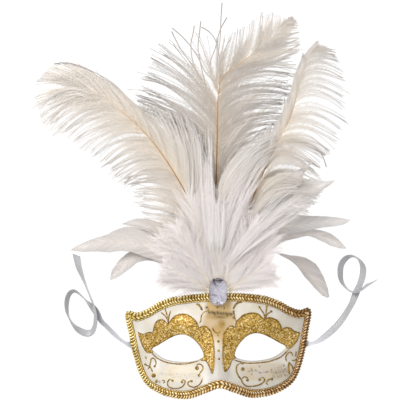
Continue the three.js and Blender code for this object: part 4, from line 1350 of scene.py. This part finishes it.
# Long barbs of the down that lie up over the plumes: a sheaf for each of these feathers
DOWN_STREAMS = {
    5: (
        60, 3, (0.6, 1.0), [(-6, 84), (-8, 108), (-8, 130), (-10, 150)],
        [(4, 84), (6, 108), (7, 130), (9, 152)],
    ),
    4: (
        80, 2.5, (0.5, 1.0), [(-4, 74), (-9, 100), (-13, 124), (-15, 150), (-16, 176), (-19, 200)],
        [(0, 76), (-2, 104), (-3, 128), (-3, 152), (-3, 178), (-3, 204)],
    ),
    6: (
        80, 2.5, (0.6, 1.0), [(2, 76), (4, 104), (9, 130), (20, 156), (34, 178), (50, 192)],
        [(6, 76), (15, 102), (28, 130), (40, 150), (52, 168), (60, 184)],
    ),
    7: (
        56, 2.5, (0.5, 1.0), [(6, 72), (18, 94), (34, 116), (48, 132), (62, 144), (76, 152)],
        [(8, 68), (24, 84), (44, 98), (60, 108), (74, 116), (84, 122)],
    ),
}


def dish_height(spec, x, y):
    """Height of the dish that a feather lies on: root + rise d - fall d², with d the plan distance from the
    root of the bundle and the fall chosen so that the dish reaches its tip height at its reach."""
    distance = np.hypot(x, y - ROOT_Y)
    fall = (spec["root"] + spec["rise"] * spec["reach"] - spec["tip"]) / spec["reach"] ** 2
    return spec["root"] + spec["rise"] * distance - fall * distance ** 2


def shaft_frame(shaft, share, side):
    """Points of a shaft, its direction there and the direction out to one side of it."""
    middle, forward = route(shaft, share)
    return middle, forward, np.stack([-forward[:, 1], forward[:, 0]], -1) * side


def table_tips(table, share):
    """Barb ends read off a given list of (share of the shaft, x, y)."""
    places = np.array(table)
    return np.stack([np.interp(share, places[:, 0], places[:, k]) for k in (1, 2)], -1)


def edge_tips(shaft, edge, share, side):
    """Barb ends on the edge of a smooth blade. A barb runs forward at the sweep angle, so it ends further
    along by the blade's width over the tangent of that angle; three rounds settle where that is."""
    places = np.array(edge)
    dense, _ = route(shaft, np.linspace(0, 1, 200))
    length = np.linalg.norm(np.diff(dense, axis=0), axis=1).sum()
    ahead = share
    for _ in range(3):
        width = np.interp(ahead, places[:, 0], places[:, 1])
        ahead = np.minimum(share + width / (math.tan(HACKLE_SWEEP) * length), 1)
    middle, _, sideways = shaft_frame(shaft, ahead, side)
    return middle + sideways * np.interp(ahead, places[:, 0], places[:, 1])[:, None]


def down_tips(shaft, length, longest, share, side, rng):
    """Barb ends of a down feather: long barbs that lie forward, shorter towards the tip."""
    middle, forward, sideways = shaft_frame(shaft, share, side)
    lock = rng.normal(size=len(share))[groups(len(share), 5, 9, rng)]
    turn = (DOWN_SWEEP + lock * 0.17 + rng.normal(size=len(share)) * 0.1)[:, None]
    shortest = mix(0.7, 0.35, smoothstep(share, 0.3, 0.9))
    reach = np.minimum(longest, (1 - share + PAST_SHAFT) * length) * rng.uniform(shortest, 1.1)
    return middle + (forward * np.cos(turn) + sideways * np.sin(turn)) * reach[:, None]


def groups(count, least, most, rng):
    """A group number for each barb: neighbours stand together by least to most of them."""
    return np.repeat(np.arange(count), rng.integers(least, most + 1, count))[:count]


def group_mean(values, group):
    """Mean over each group, given back to every member."""
    size = np.maximum(np.bincount(group), 1)
    return np.stack([np.bincount(group, column) / size for column in values.T], -1)[group]


def strips(centre, width, twist, tone, begin=0.0, end=1.0):
    """Three-sided strips along lines of points, and their map: the place along the strip, from begin to
    end, and its tone."""
    count, stations = centre.shape[:2]
    level, upright = level_and_upright(unit(np.gradient(centre, axis=1)))
    turn = twist[:, None, None]
    across = level * np.cos(turn) + upright * np.sin(turn)
    above = upright * np.cos(turn) - level * np.sin(turn)
    half = np.broadcast_to(width, (count, stations))[..., None] / 2
    corners = np.stack([centre - across * half, centre + across * half, centre + above * half * 0.9], 2)
    body = grid_quads(stations, 3, closed_columns=True)
    offsets = (np.arange(count) * stations * 3)[:, None]
    quads = (body[None] + offsets[..., None]).reshape(-1, 4)
    first = offsets + np.array([2, 1, 0])
    last = offsets + (stations - 1) * 3 + np.array([0, 1, 2])
    begin, end = (np.broadcast_to(value, (count,))[:, None] for value in (begin, end))
    place = mix(begin, end, np.linspace(0, 1, stations))
    uv = np.stack([place, np.broadcast_to(tone[:, None], place.shape)], -1)
    return corners.reshape(-1, 3), [quads, first, last], np.repeat(uv.reshape(-1, 2), 3, axis=0)


class Barbs:
    """The barbs on one side of one feather, as curves in space.

    In plan a barb is a parabola that leaves the shaft at the leaving angle and ends at its tip. Up to four
    neighbours make a wisp and draw together further out; seven to twenty make a lock, which shares a height
    and a tone. In height a barb follows the feather's dish, with a hump in the middle and a droop at the end.
    """

    def __init__(self, spec, side, share, tips, leave, style, rng):
        count = len(share)
        start, forward, sideways = shaft_frame(spec["shaft"], share, side)
        wisp = groups(count, *style["wisp"], rng)
        by_wisp, alone = rng.random(count)[wisp], rng.random(count)
        reach = (tips - start) * (1.03 - style["uneven"] * (0.45 * by_wisp + 0.55 * alone))[:, None]
        turn = style["stray"] * rng.normal(size=count)[wisp]
        reach = reach + np.stack([-reach[:, 1], reach[:, 0]], -1) * turn[:, None]
        length = np.linalg.norm(reach, axis=1)
        leave = np.radians(mix(*leave, share) + rng.normal(size=count) * style["leave_spread"])[:, None]
        first = forward * np.cos(leave) + sideways * np.sin(leave)
        self.own = (start, start + first * (length * style["bow"])[:, None], start + reach)
        self.shared = tuple(group_mean(points, wisp) for points in self.own)
        self.gather = style["gather"]
        self.heading = unit(reach)
        self.dress(spec, length, wisp, style, rng)
        self.tone = self.tone + spec.get("pale_tip", 0.0) * smoothstep(share, 0.6, 0.85)
        self.begin = style["plain_tip"] * smoothstep(share, 0.65, 0.95)
        fade = np.array(spec.get("fade", [(0, 1), (1, 1)]))
        self.end = np.interp(share, fade[:, 0], fade[:, 1])

    def dress(self, spec, length, wisp, style, rng):
        """What is the same however the barbs are placed: ripple, layer, hump, droop, tone and twist."""
        self.spec = spec
        self.count = count = len(length)
        lock = groups(count, *style["lock"], rng)
        by_lock, by_wisp, alone = rng.random(count)[lock], rng.random(count)[wisp], rng.random(count)
        self.small = small = np.minimum(length / 50, 1)
        self.wave = style["wave"] * (0.4 + rng.random(count)[wisp]) * small
        self.phase = 2 * np.pi * rng.random(count)[wisp]
        self.layer = style["layer"] * (1.1 * rng.random(count)[lock] + 0.6 * by_wisp + 0.3 * alone - 1)
        self.hump = style["hump"] * small * (0.5 + 0.5 * by_lock)
        self.droop = style["droop"] * small * (0.5 + rng.random(count)[wisp])
        low, high = spec["tones"]
        tone = 0.5 * rng.random(count)[lock] + 0.35 * rng.random(count)[wisp] + 0.15 * alone
        self.tone = 0.02 + 0.88 * mix(low, high, tone)
        self.twist = rng.uniform(-0.8, 0.8, count)

    def plan(self, t):
        """Plan places at shares t of the barbs: each barb's own parabola, drawn towards its wisp's."""
        s = t[..., None]
        own, shared = (
            start[:, None] * (1 - s) ** 2 + bend[:, None] * 2 * s * (1 - s) + tips[:, None] * s ** 2
            for start, bend, tips in (self.own, self.shared)
        )
        return mix(own, shared, self.gather * smoothstep(s, 0.2, 0.85))

    def at(self, t):
        """Points at shares t of the barbs; t has one row for each barb."""
        square = np.stack([-self.heading[:, 1], self.heading[:, 0]], -1)[:, None]
        ripple = self.wave[:, None] * t ** 1.5 * np.sin(2 * np.pi * 0.9 * t + self.phase[:, None])
        plan = self.plan(t) + square * ripple[..., None]
        height = dish_height(self.spec, plan[..., 0], plan[..., 1])
        height = height + self.layer[:, None] * np.minimum(t * 6, 1) + self.hump[:, None] * 4 * t * (1 - t)
        height = height - self.droop[:, None] * t ** 2
        return np.concatenate([plan, np.maximum(height, TABLE_CLEARANCE)[..., None]], -1)

    def strips(self, segments, wide, fine):
        """The barbs as strips of so many segments, tapering from wide to fine."""
        t = np.linspace(0, 1, segments + 1)
        centre = self.at(np.broadcast_to(t, (self.count, segments + 1)))
        return strips(centre, mix(wide, fine, t ** 0.7), self.twist, self.tone, self.begin, self.end)

    def fluff(self, number, long, short, rng, angle=42, base=0.34, tilt=0.3):
        """Barbules: a number of slim triangles on each barb, at both sides of it, leaning forward at the
        angle in degrees. They shorten from long to short over the outer half of a barb, and are smaller on
        short barbs."""
        t = mix(FLUFF_FIRST, 1, (np.arange(number) + rng.random((self.count, number))) / number)
        t = np.minimum(t, 0.995)
        here = self.at(t)
        forward = unit(self.at(np.minimum(t + 0.01, 1)) - self.at(t - 0.01))
        side = np.where(rng.random(t.shape) < 0.5, -1, 1)[..., None]
        level = unit(np.cross(forward, UP)) * side
        lean = np.radians(angle + rng.normal(size=t.shape) * 11)[..., None]
        size = mix(long, short, smoothstep(t, 0.4, 0.88)) * rng.uniform(0.55, 1.1, t.shape)
        size = size * mix(0.5, 1, self.small[:, None])
        upward = rng.uniform(-tilt, tilt, t.shape)[..., None] * UP
        end = here + unit(forward * np.cos(lean) + level * np.sin(lean) + upward) * size[..., None]
        end[..., 2] = np.maximum(end[..., 2], TABLE_CLEARANCE * 0.5)
        foot = forward * side * base / 2
        points = np.stack([here + foot, here - foot, end], 2).reshape(-1, 3)
        tris = np.arange(len(points)).reshape(-1, 3)
        place = mix(self.begin[:, None], self.end[:, None], t)
        uv = np.stack([place, np.broadcast_to(self.tone[:, None], t.shape)], -1)
        return points, [tris], np.repeat(uv.reshape(-1, 2), 3, axis=0)


class Sheaf(Barbs):
    """Barbs that lie across others, spread between two guide curves; each stops somewhere near their
    ends."""

    def __init__(self, spec, style, rng, count, lift, tones, low, high, end=0.7):
        self.guides = [np.asarray(guide, float) for guide in (low, high)]
        self.place = np.sort(rng.random(count))
        self.stop = rng.uniform(1 - 2.2 * style["uneven"], 1, count)
        self.origin = rng.uniform(0, 0.12, count)
        step = mix(*(guide[-1] - guide[0] for guide in self.guides), self.place[:, None])
        self.heading = unit(step)
        wisp = groups(count, *style["wisp"], rng)
        self.dress({**spec, "tones": tones}, np.linalg.norm(step, axis=1), wisp, style, rng)
        self.layer = self.layer + lift
        self.place = self.place + rng.normal(size=count) * 0.04
        self.begin = np.full(count, 0.15)
        self.end = np.full(count, end)

    def plan(self, t):
        """Plan places at shares t: as far between the two guides as the barb's own place."""
        share = mix(self.origin[:, None], self.stop[:, None], t)
        low, high = (catmull(guide, share * (len(guide) - 1)) for guide in self.guides)
        return mix(low, high, self.place[:, None, None])


def loose_strands(spec):
    """Single strands that have come away from the rest: given splines laid over the feather's dish."""
    share = np.linspace(0, 1, STRAND_SEGMENTS + 1)
    plan = np.stack([route(curve, share)[0] for curve in spec["strands"]])
    height = np.maximum(dish_height(spec, plan[..., 0], plan[..., 1]) + STRAND_LIFT, TABLE_CLEARANCE)
    centre = np.concatenate([plan, height[..., None]], -1)
    count = len(plan)
    return strips(centre, mix(STRAND_WIDE, STRAND_FINE, share), np.zeros(count), np.full(count, STRAND_TONE))


def quill_tube(spec, thick, thin, bare, steps=70, lift=0.9, sink=1.8):
    """Shaft of a feather: a tapering round tube, over the blade where it shows bare and under it
    elsewhere."""
    share = np.linspace(0, 1, steps + 1)
    plan, _ = route(spec["shaft"], share)
    radius = mix(thick, thin, share ** 0.8)
    shown = np.max([window(share, low - 0.03, low, high, high + 0.03) for low, high in bare], axis=0)
    height = dish_height(spec, plan[:, 0], plan[:, 1]) + mix(-sink, lift, shown)
    height = np.maximum(height, radius + 0.1)
    points, faces = tube(np.concatenate([plan, height[:, None]], 1), radius, QUILL_SIDES)
    return points, faces, np.stack([np.repeat(share, QUILL_SIDES), np.full(len(points), QUILL_BAND)], -1)


def build_feather(name, barb_parts, quill, materials):
    """One feather as one piece: its barbs and barbules, then its shaft in the second material."""
    parts = [*barb_parts, quill]
    points, faces = joined([(part_points, part_faces) for part_points, part_faces, _ in parts])
    uv = np.concatenate([part_uv for _, _, part_uv in parts])
    soft, hard = (sum(len(f) for _, found, _ in group for f in found) for group in (barb_parts, [quill]))
    slots = np.repeat([0, 1], [soft, hard])
    make_piece(name + "_barbs", points, faces, materials, name, uv=uv, face_slots=slots, smooth=False)


# How barbs lie: how many make a lock and a wisp, how far a wisp gathers, how uneven the barbs' lengths are,
# how much wisps stray, spread of the leaving angle in degrees, how far a barb keeps to that angle, height of
# its ripple, of its layer, of its hump and of its droop, and how much of the root's colour is left out at the
# feather's tip
OSTRICH_STYLE = {
    "lock": (7, 12), "wisp": (1, 4), "gather": 0.36, "uneven": 0.25, "stray": 0.055, "leave_spread": 2.5,
    "bow": 0.47, "wave": 1.6, "layer": 1.3, "hump": 2.0, "droop": 2.2, "plain_tip": 0.3,
}
SMOOTH_SIDE = {**OSTRICH_STYLE, "uneven": 0.05, "stray": 0.015, "gather": 0.5, "wave": 0.8}
HACKLE_STYLE = {
    "lock": (12, 20), "wisp": (2, 4), "gather": 0.0, "uneven": 0.02, "stray": 0.0, "leave_spread": 0.3,
    "bow": 0.5, "wave": 0.0, "layer": 0.2, "hump": 0.4, "droop": 0.4, "plain_tip": 0.0,
}
FRINGE_STYLE = {**HACKLE_STYLE, "uneven": 0.3, "leave_spread": 4, "wave": 0.6, "gather": 0.3}
MARABOU_STYLE = {
    "lock": (7, 12), "wisp": (2, 4), "gather": 0.4, "uneven": 0.3, "stray": 0.1, "leave_spread": 6,
    "bow": 0.5, "wave": 1.6, "layer": 1.4, "hump": 1.6, "droop": 2.0, "plain_tip": 0.0,
}


def thinned(share, windows, rng):
    """The shares, without some of those inside each window (low, high, share to keep)."""
    for low, high, keep in windows:
        inside = (share > low) & (share < high)
        share = share[~inside | (rng.random(len(share)) < keep)]
    return share


def build_ostrich(look):
    """The three long plumes, each with its own shaft, its listed barb ends and under two hundred thousand
    triangles."""
    lengthwise = [
        (0.0, "#F5E6CC"), (0.07, "#F2EADD"), (0.2, look.plume), (0.55, "#EEEBE7"), (0.8, "#D5D1CE"),
        (1.0, "#ACA8A5"),
    ]
    strands = [
        (0.0, "#BDB7B3"), (0.2, "#D3CDC8"), (0.4, "#D5D1CF"), (0.6, "#EFEAE4"), (0.75, "#EEEBE9"),
        (0.9, "#FFFFFF"),
    ]
    horn = [
        (0.0, "#EFE0C0"), (0.25, "#C48A4C"), (0.42, "#8E5C2C"), (0.58, "#B98450"), (0.8, "#DDB98C"),
        (1.0, "#EFE2CC"),
    ]
    barbs = feather_material("ostrich_barb", lengthwise, strands, Roughness=0.75, Sheen_Weight=0.25)
    quill = quill_material("ostrich_shaft", horn)
    for number, (name, spec) in enumerate(OSTRICH.items()):
        rng = np.random.default_rng(20 + number)
        parts = []
        for side, key in ((1, "left"), (-1, "right")):
            share = np.linspace(*PLUME_GROWTH, look.plume_barbs) ** 0.92
            share = thinned(share, spec["thinned"].get(key, []), rng)
            start, _ = route(spec["shaft"], share)
            tips = mix(start, table_tips(spec[key], share), smoothstep(share, 0.0, 0.12)[:, None])
            style = SMOOTH_SIDE if key in spec.get("smooth", ()) else OSTRICH_STYLE
            rows = Barbs(spec, side, share, tips, spec["leave"][key], style, rng)
            parts += [rows.strips(*PLUME_STRIP), rows.fluff(look.plume_fluff, *PLUME_FLUFF, rng)]
        for sheaf in spec["sheaves"]:
            rows = Sheaf(spec, OSTRICH_STYLE, rng, *sheaf)
            parts += [rows.strips(*SHEAF_STRIP), rows.fluff(look.plume_fluff // 2, *SHEAF_FLUFF, rng)]
        parts.append(loose_strands(spec))
        shaft = quill_tube(spec, 0.62, 0.24, spec["bare"])
        build_feather(name, parts, shaft, [barbs, quill])


def build_hackles(look):
    """Eight long smooth feathers: broad barbs laid close together, which end on the edges of a pointed
    blade."""
    lengthwise = [(0.0, "#F4F0EC"), (0.3, look.hackle), (1.0, "#E2DFDE")]
    strands = [(0.0, "#CDC8C4"), (0.4, "#E6E2DF"), (0.85, "#FFFFFF")]
    horn = [(0.0, "#E9E0CE"), (0.4, "#DAD6D0"), (1.0, "#D6D3D0")]
    barbs = feather_material("cock_feather_barb", lengthwise, strands, Roughness=0.5, Sheen_Weight=0.2)
    quill = quill_material("cock_feather_shaft", horn)
    for number, (name, values) in enumerate(HACKLES.items()):
        end_x, end_y = values["shaft"][-1]
        spec = {**values, "reach": math.hypot(end_x, end_y - ROOT_Y)}
        rng = np.random.default_rng(40 + number)
        parts = []
        for side, key in ((1, "left"), (-1, "right")):
            share = np.linspace(spec.get("first", HACKLE_FIRST), HACKLE_LAST, look.hackle_barbs)
            tips = edge_tips(spec["shaft"], spec[key], share, side)
            fringed = key in spec.get("fringe", ())
            style = FRINGE_STYLE if fringed else HACKLE_STYLE
            rows = Barbs(spec, side, share, tips, HACKLE_LEAVE, style, rng)
            if fringed:
                parts += [rows.strips(*FRINGE_STRIP), rows.fluff(look.down_fluff // 2, *FRINGE_FLUFF, rng)]
            else:
                parts.append(rows.strips(*HACKLE_STRIP))
        shaft = quill_tube(spec, 0.5, 0.2, [(0, 1)], steps=40, lift=-0.1)
        build_feather(name, parts, shaft, [barbs, quill])


def marabou_spec(number):
    """One of the fan of down feathers. Its length goes by the square of a cosine of its angle from straight
    up."""
    angle = math.radians(MARABOU_FIRST_ANGLE + MARABOU_STEP_ANGLE * number)
    odd = number % 2
    length = mix(MARABOU_SHORTEST, MARABOU_LONGEST, math.cos(angle * 0.95) ** 2) * (1 - SHORTER_BY * odd)
    heading = np.array([math.sin(angle), math.cos(angle)])
    start = DOWN_MIDDLE + heading * DOWN_SPREAD
    return {
        "shaft": [tuple(start + heading * length * share) for share in (0, 0.33, 0.66, 1)], "length": length,
        "root": 35 + odd, "rise": 0.42 + odd * 0.05, "tip": 46 + odd * 4, "reach": 138, "tones": (0.0, 1.0),
    }


def build_marabou(look):
    """Eleven down feathers fanned out in front of the plumes: long fine barbs that wave, thick with
    barbules. Their shafts show only close to the stone."""
    lengthwise = [(0.0, "#F7F0E6"), (0.25, look.down), (1.0, "#F6F2F1")]
    strands = [(0.0, "#EEE9E7"), (0.5, "#F7F4F3"), (0.9, "#FFFFFF")]
    horn = [(0.0, "#F3E2BC"), (0.5, "#F1E6D4"), (1.0, "#F2ECE8")]
    barbs = feather_material("marabou_down", lengthwise, strands, Roughness=0.8, Sheen_Weight=0.3)
    quill = quill_material("marabou_shaft", horn)
    for number in range(MARABOU_COUNT):
        spec = marabou_spec(number)
        name = f"marabou_{number + 1:02d}"
        rng = np.random.default_rng(60 + number)
        parts = []
        for side in (1, -1):
            share = np.linspace(*DOWN_GROWTH, look.down_barbs)
            lowest = (number, side) in ((0, 1), (MARABOU_COUNT - 1, -1))
            longest = LOWEST_BARB if lowest else DOWN_BARB
            tips = down_tips(spec["shaft"], spec["length"], longest, share, side, rng)
            rows = Barbs(spec, side, share, tips, DOWN_LEAVE, MARABOU_STYLE, rng)
            fluff = rows.fluff(look.down_fluff, *DOWN_FLUFF, rng, angle=34, base=0.28, tilt=0.2)
            parts += [rows.strips(*DOWN_STRIP), fluff]
        if number in DOWN_STREAMS:
            rows = Sheaf(spec, MARABOU_STYLE, rng, *DOWN_STREAMS[number], end=0.9)
            fluff = rows.fluff(look.down_fluff, *STREAM_FLUFF, rng, angle=26, base=0.26, tilt=0.15)
            parts += [rows.strips(*STREAM_STRIP), fluff]
        shaft = quill_tube(spec, 0.4, 0.12, [(0, 0.2)], steps=24, lift=1.0, sink=3.0)
        build_feather(name, parts, shaft, [barbs, quill])


# Stage

# The view: straight down, turned by a degree, as the photograph frames it
VIEW_CENTRE = (-15.1, 134.9)
VIEW_ROLL = math.radians(-1.0)
VIEW_WIDTH = 368.0
VIEW_HEIGHT = 3500.0
VIEW_LEVEL = 20.0
SENSOR = 36.0
# Stage sizes in metres: half the floor, and where the lamp hangs, how it is turned and how wide it is
CLIP_END = 20.0
FLOOR_HALF = 6.0
KEY_PLACE = (-0.9, 0.9, 1.5)
KEY_TURN = (math.radians(-35), math.radians(-28), 0)
KEY_WIDTH = 0.9


def build_camera():
    """Camera far above, so that the view is almost without perspective, framed as the photograph is."""
    data = bpy.data.cameras.new("camera")
    data.sensor_width = SENSOR
    data.lens = SENSOR * (VIEW_HEIGHT - VIEW_LEVEL) / VIEW_WIDTH
    data.clip_end = CLIP_END
    camera = add_object("camera", data)
    camera.location = (np.array([*VIEW_CENTRE, VIEW_HEIGHT]) + FACE_MIDDLE) * MM
    camera.rotation_euler = (0, 0, VIEW_ROLL)
    bpy.context.scene.camera = camera


def build_floor(look):
    """White light table."""
    mesh = bpy.data.meshes.new("floor")
    corners = [(x * FLOOR_HALF, y * FLOOR_HALF, 0) for x, y in ((-1, -1), (1, -1), (1, 1), (-1, 1))]
    mesh.from_pydata(corners, [], [(0, 1, 2, 3)])
    sheet, _ = new_material(
        "backlit_white_sheet", Base_Color=linear("#3C3C3C"), Roughness=0.9, Specular_IOR_Level=0.1,
        Emission_Color=(1.0, 1.0, 1.0, 1.0), Emission_Strength=look.floor_glow,
    )
    mesh.materials.append(sheet)
    add_object("floor", mesh)


def build_lamp(look):
    """Big soft lamp high on the left."""
    data = bpy.data.lights.new("key_lamp", "AREA")
    data.shape = "SQUARE"
    data.size = KEY_WIDTH
    data.energy = look.key_power
    lamp = add_object("key_lamp", data)
    lamp.location = KEY_PLACE
    lamp.rotation_euler = KEY_TURN


def build_sky(look):
    """Sky that is darker at the horizon."""
    world = bpy.data.worlds.new("studio")
    world.use_nodes = True
    sky = Shading(world.node_tree, world.node_tree.nodes["Background"])
    way = sky.split(sky.add("TexCoord").outputs["Generated"])
    tones = [(0.0, "#8A8A8C"), (0.35, "#C8C8CA"), (0.9, "#FFFFFF")]
    sky.feed(Color=sky.ramp(way["Z"], tones), Strength=look.sky_strength)
    bpy.context.scene.world = world
    bpy.context.scene.view_settings.view_transform = "Standard"


# Add-on

class MaskLook(bpy.types.PropertyGroup):
    """Sizes and colours that a user would change."""

    cream: bpy.props.StringProperty(name="Cream", description="sRGB hex of the paint", default="#D8D2C6")
    cream_shade: bpy.props.StringProperty(
        name="Cream shade", description="sRGB hex of its darker patches", default="#CFC5B2",
    )
    gold: bpy.props.StringProperty(
        name="Gold", description="sRGB hex of the relief paste", default="#9C7A30",
    )
    gold_light: bpy.props.StringProperty(
        name="Light gold", description="sRGB hex of the braid's lobes", default="#D6B558",
    )
    plume: bpy.props.StringProperty(
        name="Plume", description="sRGB hex of the ostrich barbs", default="#F0EAE1",
    )
    hackle: bpy.props.StringProperty(
        name="Cock feather", description="sRGB hex of the smooth feathers", default="#EEEBE9",
    )
    down: bpy.props.StringProperty(name="Down", description="sRGB hex of the marabou", default="#F8F5F3")
    satin: bpy.props.StringProperty(name="Satin", description="sRGB hex of the ribbons", default="#B5B5B7")
    braid_pitch: bpy.props.FloatProperty(
        name="Braid pitch", description="Length of one lobe of the braid, in millimetres",
        default=2.7, min=1, max=8,
    )
    plume_barbs: bpy.props.IntProperty(
        name="Plume barbs", description="Barbs on each side of an ostrich plume",
        default=400, min=20, max=600,
    )
    plume_fluff: bpy.props.IntProperty(
        name="Plume barbules", description="Barbules on each ostrich barb", default=130, min=0, max=400,
    )
    hackle_barbs: bpy.props.IntProperty(
        name="Cock feather barbs", description="Barbs on each side of a smooth feather",
        default=130, min=20, max=400,
    )
    down_barbs: bpy.props.IntProperty(
        name="Down barbs", description="Barbs on each side of a marabou feather",
        default=90, min=20, max=400,
    )
    down_fluff: bpy.props.IntProperty(
        name="Down barbules", description="Barbules on each marabou barb", default=48, min=0, max=400,
    )
    sky_strength: bpy.props.FloatProperty(
        name="Sky", description="Strength of the sky light", default=1.0, min=0, max=5,
    )
    key_power: bpy.props.FloatProperty(
        name="Key lamp", description="Power of the soft lamp", default=24.5, min=0, max=500, unit="POWER",
    )
    floor_glow: bpy.props.FloatProperty(
        name="Floor glow", description="Light that the backdrop gives off, to keep it white",
        default=0.99, min=0, max=2,
    )


class MASK_OT_stage(bpy.types.Operator):
    """Makes the camera, the lamp, the sky and the floor"""

    bl_idname = "mask.stage"
    bl_label = "Stage and camera"

    def execute(self, context):
        build_camera()
        for build in (build_floor, build_lamp, build_sky):
            build(context.scene.mask_look)
        return {"FINISHED"}


class MASK_OT_ribbons(bpy.types.Operator):
    """Makes the two satin tie ribbons"""

    bl_idname = "mask.ribbons"
    bl_label = "Ribbons"

    def execute(self, context):
        satin = satin_material(context.scene.mask_look)
        build_ribbon("ribbon_left", RIBBON_LEFT_ROUTE, satin, CUT_LEFT)
        build_ribbon("ribbon_right", RIBBON_RIGHT_ROUTE, satin, CUT_RIGHT)
        return {"FINISHED"}


class MASK_OT_shell(bpy.types.Operator):
    """Makes the painted shell with its glitter panels"""

    bl_idname = "mask.shell"
    bl_label = "Painted shell"

    def execute(self, context):
        build_shell(context.scene.mask_look)
        return {"FINISHED"}


class MASK_OT_scrolls(bpy.types.Operator):
    """Makes the raised gold lines and drops"""

    bl_idname = "mask.scrolls"
    bl_label = "Gold scrolls"

    def execute(self, context):
        build_scrolls(context.scene.mask_look)
        return {"FINISHED"}


class MASK_OT_braid(bpy.types.Operator):
    """Makes the gimp braid round the rim"""

    bl_idname = "mask.braid"
    bl_label = "Braid"

    def execute(self, context):
        build_braid(context.scene.mask_look)
        return {"FINISHED"}


class MASK_OT_gem(bpy.types.Operator):
    """Makes the cut stone and its foil"""

    bl_idname = "mask.gem"
    bl_label = "Stone"

    def execute(self, context):
        build_gem()
        return {"FINISHED"}


class MASK_OT_ostrich(bpy.types.Operator):
    """Makes the three ostrich plumes"""

    bl_idname = "mask.ostrich"
    bl_label = "Ostrich plumes"

    def execute(self, context):
        build_ostrich(context.scene.mask_look)
        return {"FINISHED"}


class MASK_OT_hackles(bpy.types.Operator):
    """Makes the eight smooth pointed feathers"""

    bl_idname = "mask.hackles"
    bl_label = "Cock feathers"

    def execute(self, context):
        build_hackles(context.scene.mask_look)
        return {"FINISHED"}


class MASK_OT_marabou(bpy.types.Operator):
    """Makes the fan of marabou down"""

    bl_idname = "mask.marabou"
    bl_label = "Marabou fan"

    def execute(self, context):
        build_marabou(context.scene.mask_look)
        return {"FINISHED"}


OPERATORS = (
    MASK_OT_stage, MASK_OT_ribbons, MASK_OT_shell, MASK_OT_scrolls, MASK_OT_braid, MASK_OT_gem,
    MASK_OT_ostrich, MASK_OT_hackles, MASK_OT_marabou,
)


class MASK_PT_panel(bpy.types.Panel):
    """Lists the steps and the values in the sidebar."""

    bl_idname = "MASK_PT_panel"
    bl_label = "Feathered half mask"
    bl_space_type = "VIEW_3D"
    bl_region_type = "UI"
    bl_category = "Mask"

    def draw(self, context):
        for operator in OPERATORS:
            self.layout.operator(operator.bl_idname)
        for name in MaskLook.__annotations__:
            self.layout.prop(context.scene.mask_look, name)


CLASSES = (MaskLook, *OPERATORS, MASK_PT_panel)


def register():
    """Registers every class and hangs the values on the scene."""
    for made in CLASSES:
        bpy.utils.register_class(made)
    bpy.types.Scene.mask_look = bpy.props.PointerProperty(type=MaskLook)


def unregister():
    """Takes back what register did."""
    del bpy.types.Scene.mask_look
    for made in reversed(CLASSES):
        bpy.utils.unregister_class(made)


def main():
    """Builds everything."""
    register()
    bpy.ops.mask.stage()
    bpy.ops.mask.ribbons()
    bpy.ops.mask.shell()
    bpy.ops.mask.scrolls()
    bpy.ops.mask.braid()
    bpy.ops.mask.gem()
    bpy.ops.mask.ostrich()
    bpy.ops.mask.hackles()
    bpy.ops.mask.marabou()


if __name__ == "__main__":
    main()
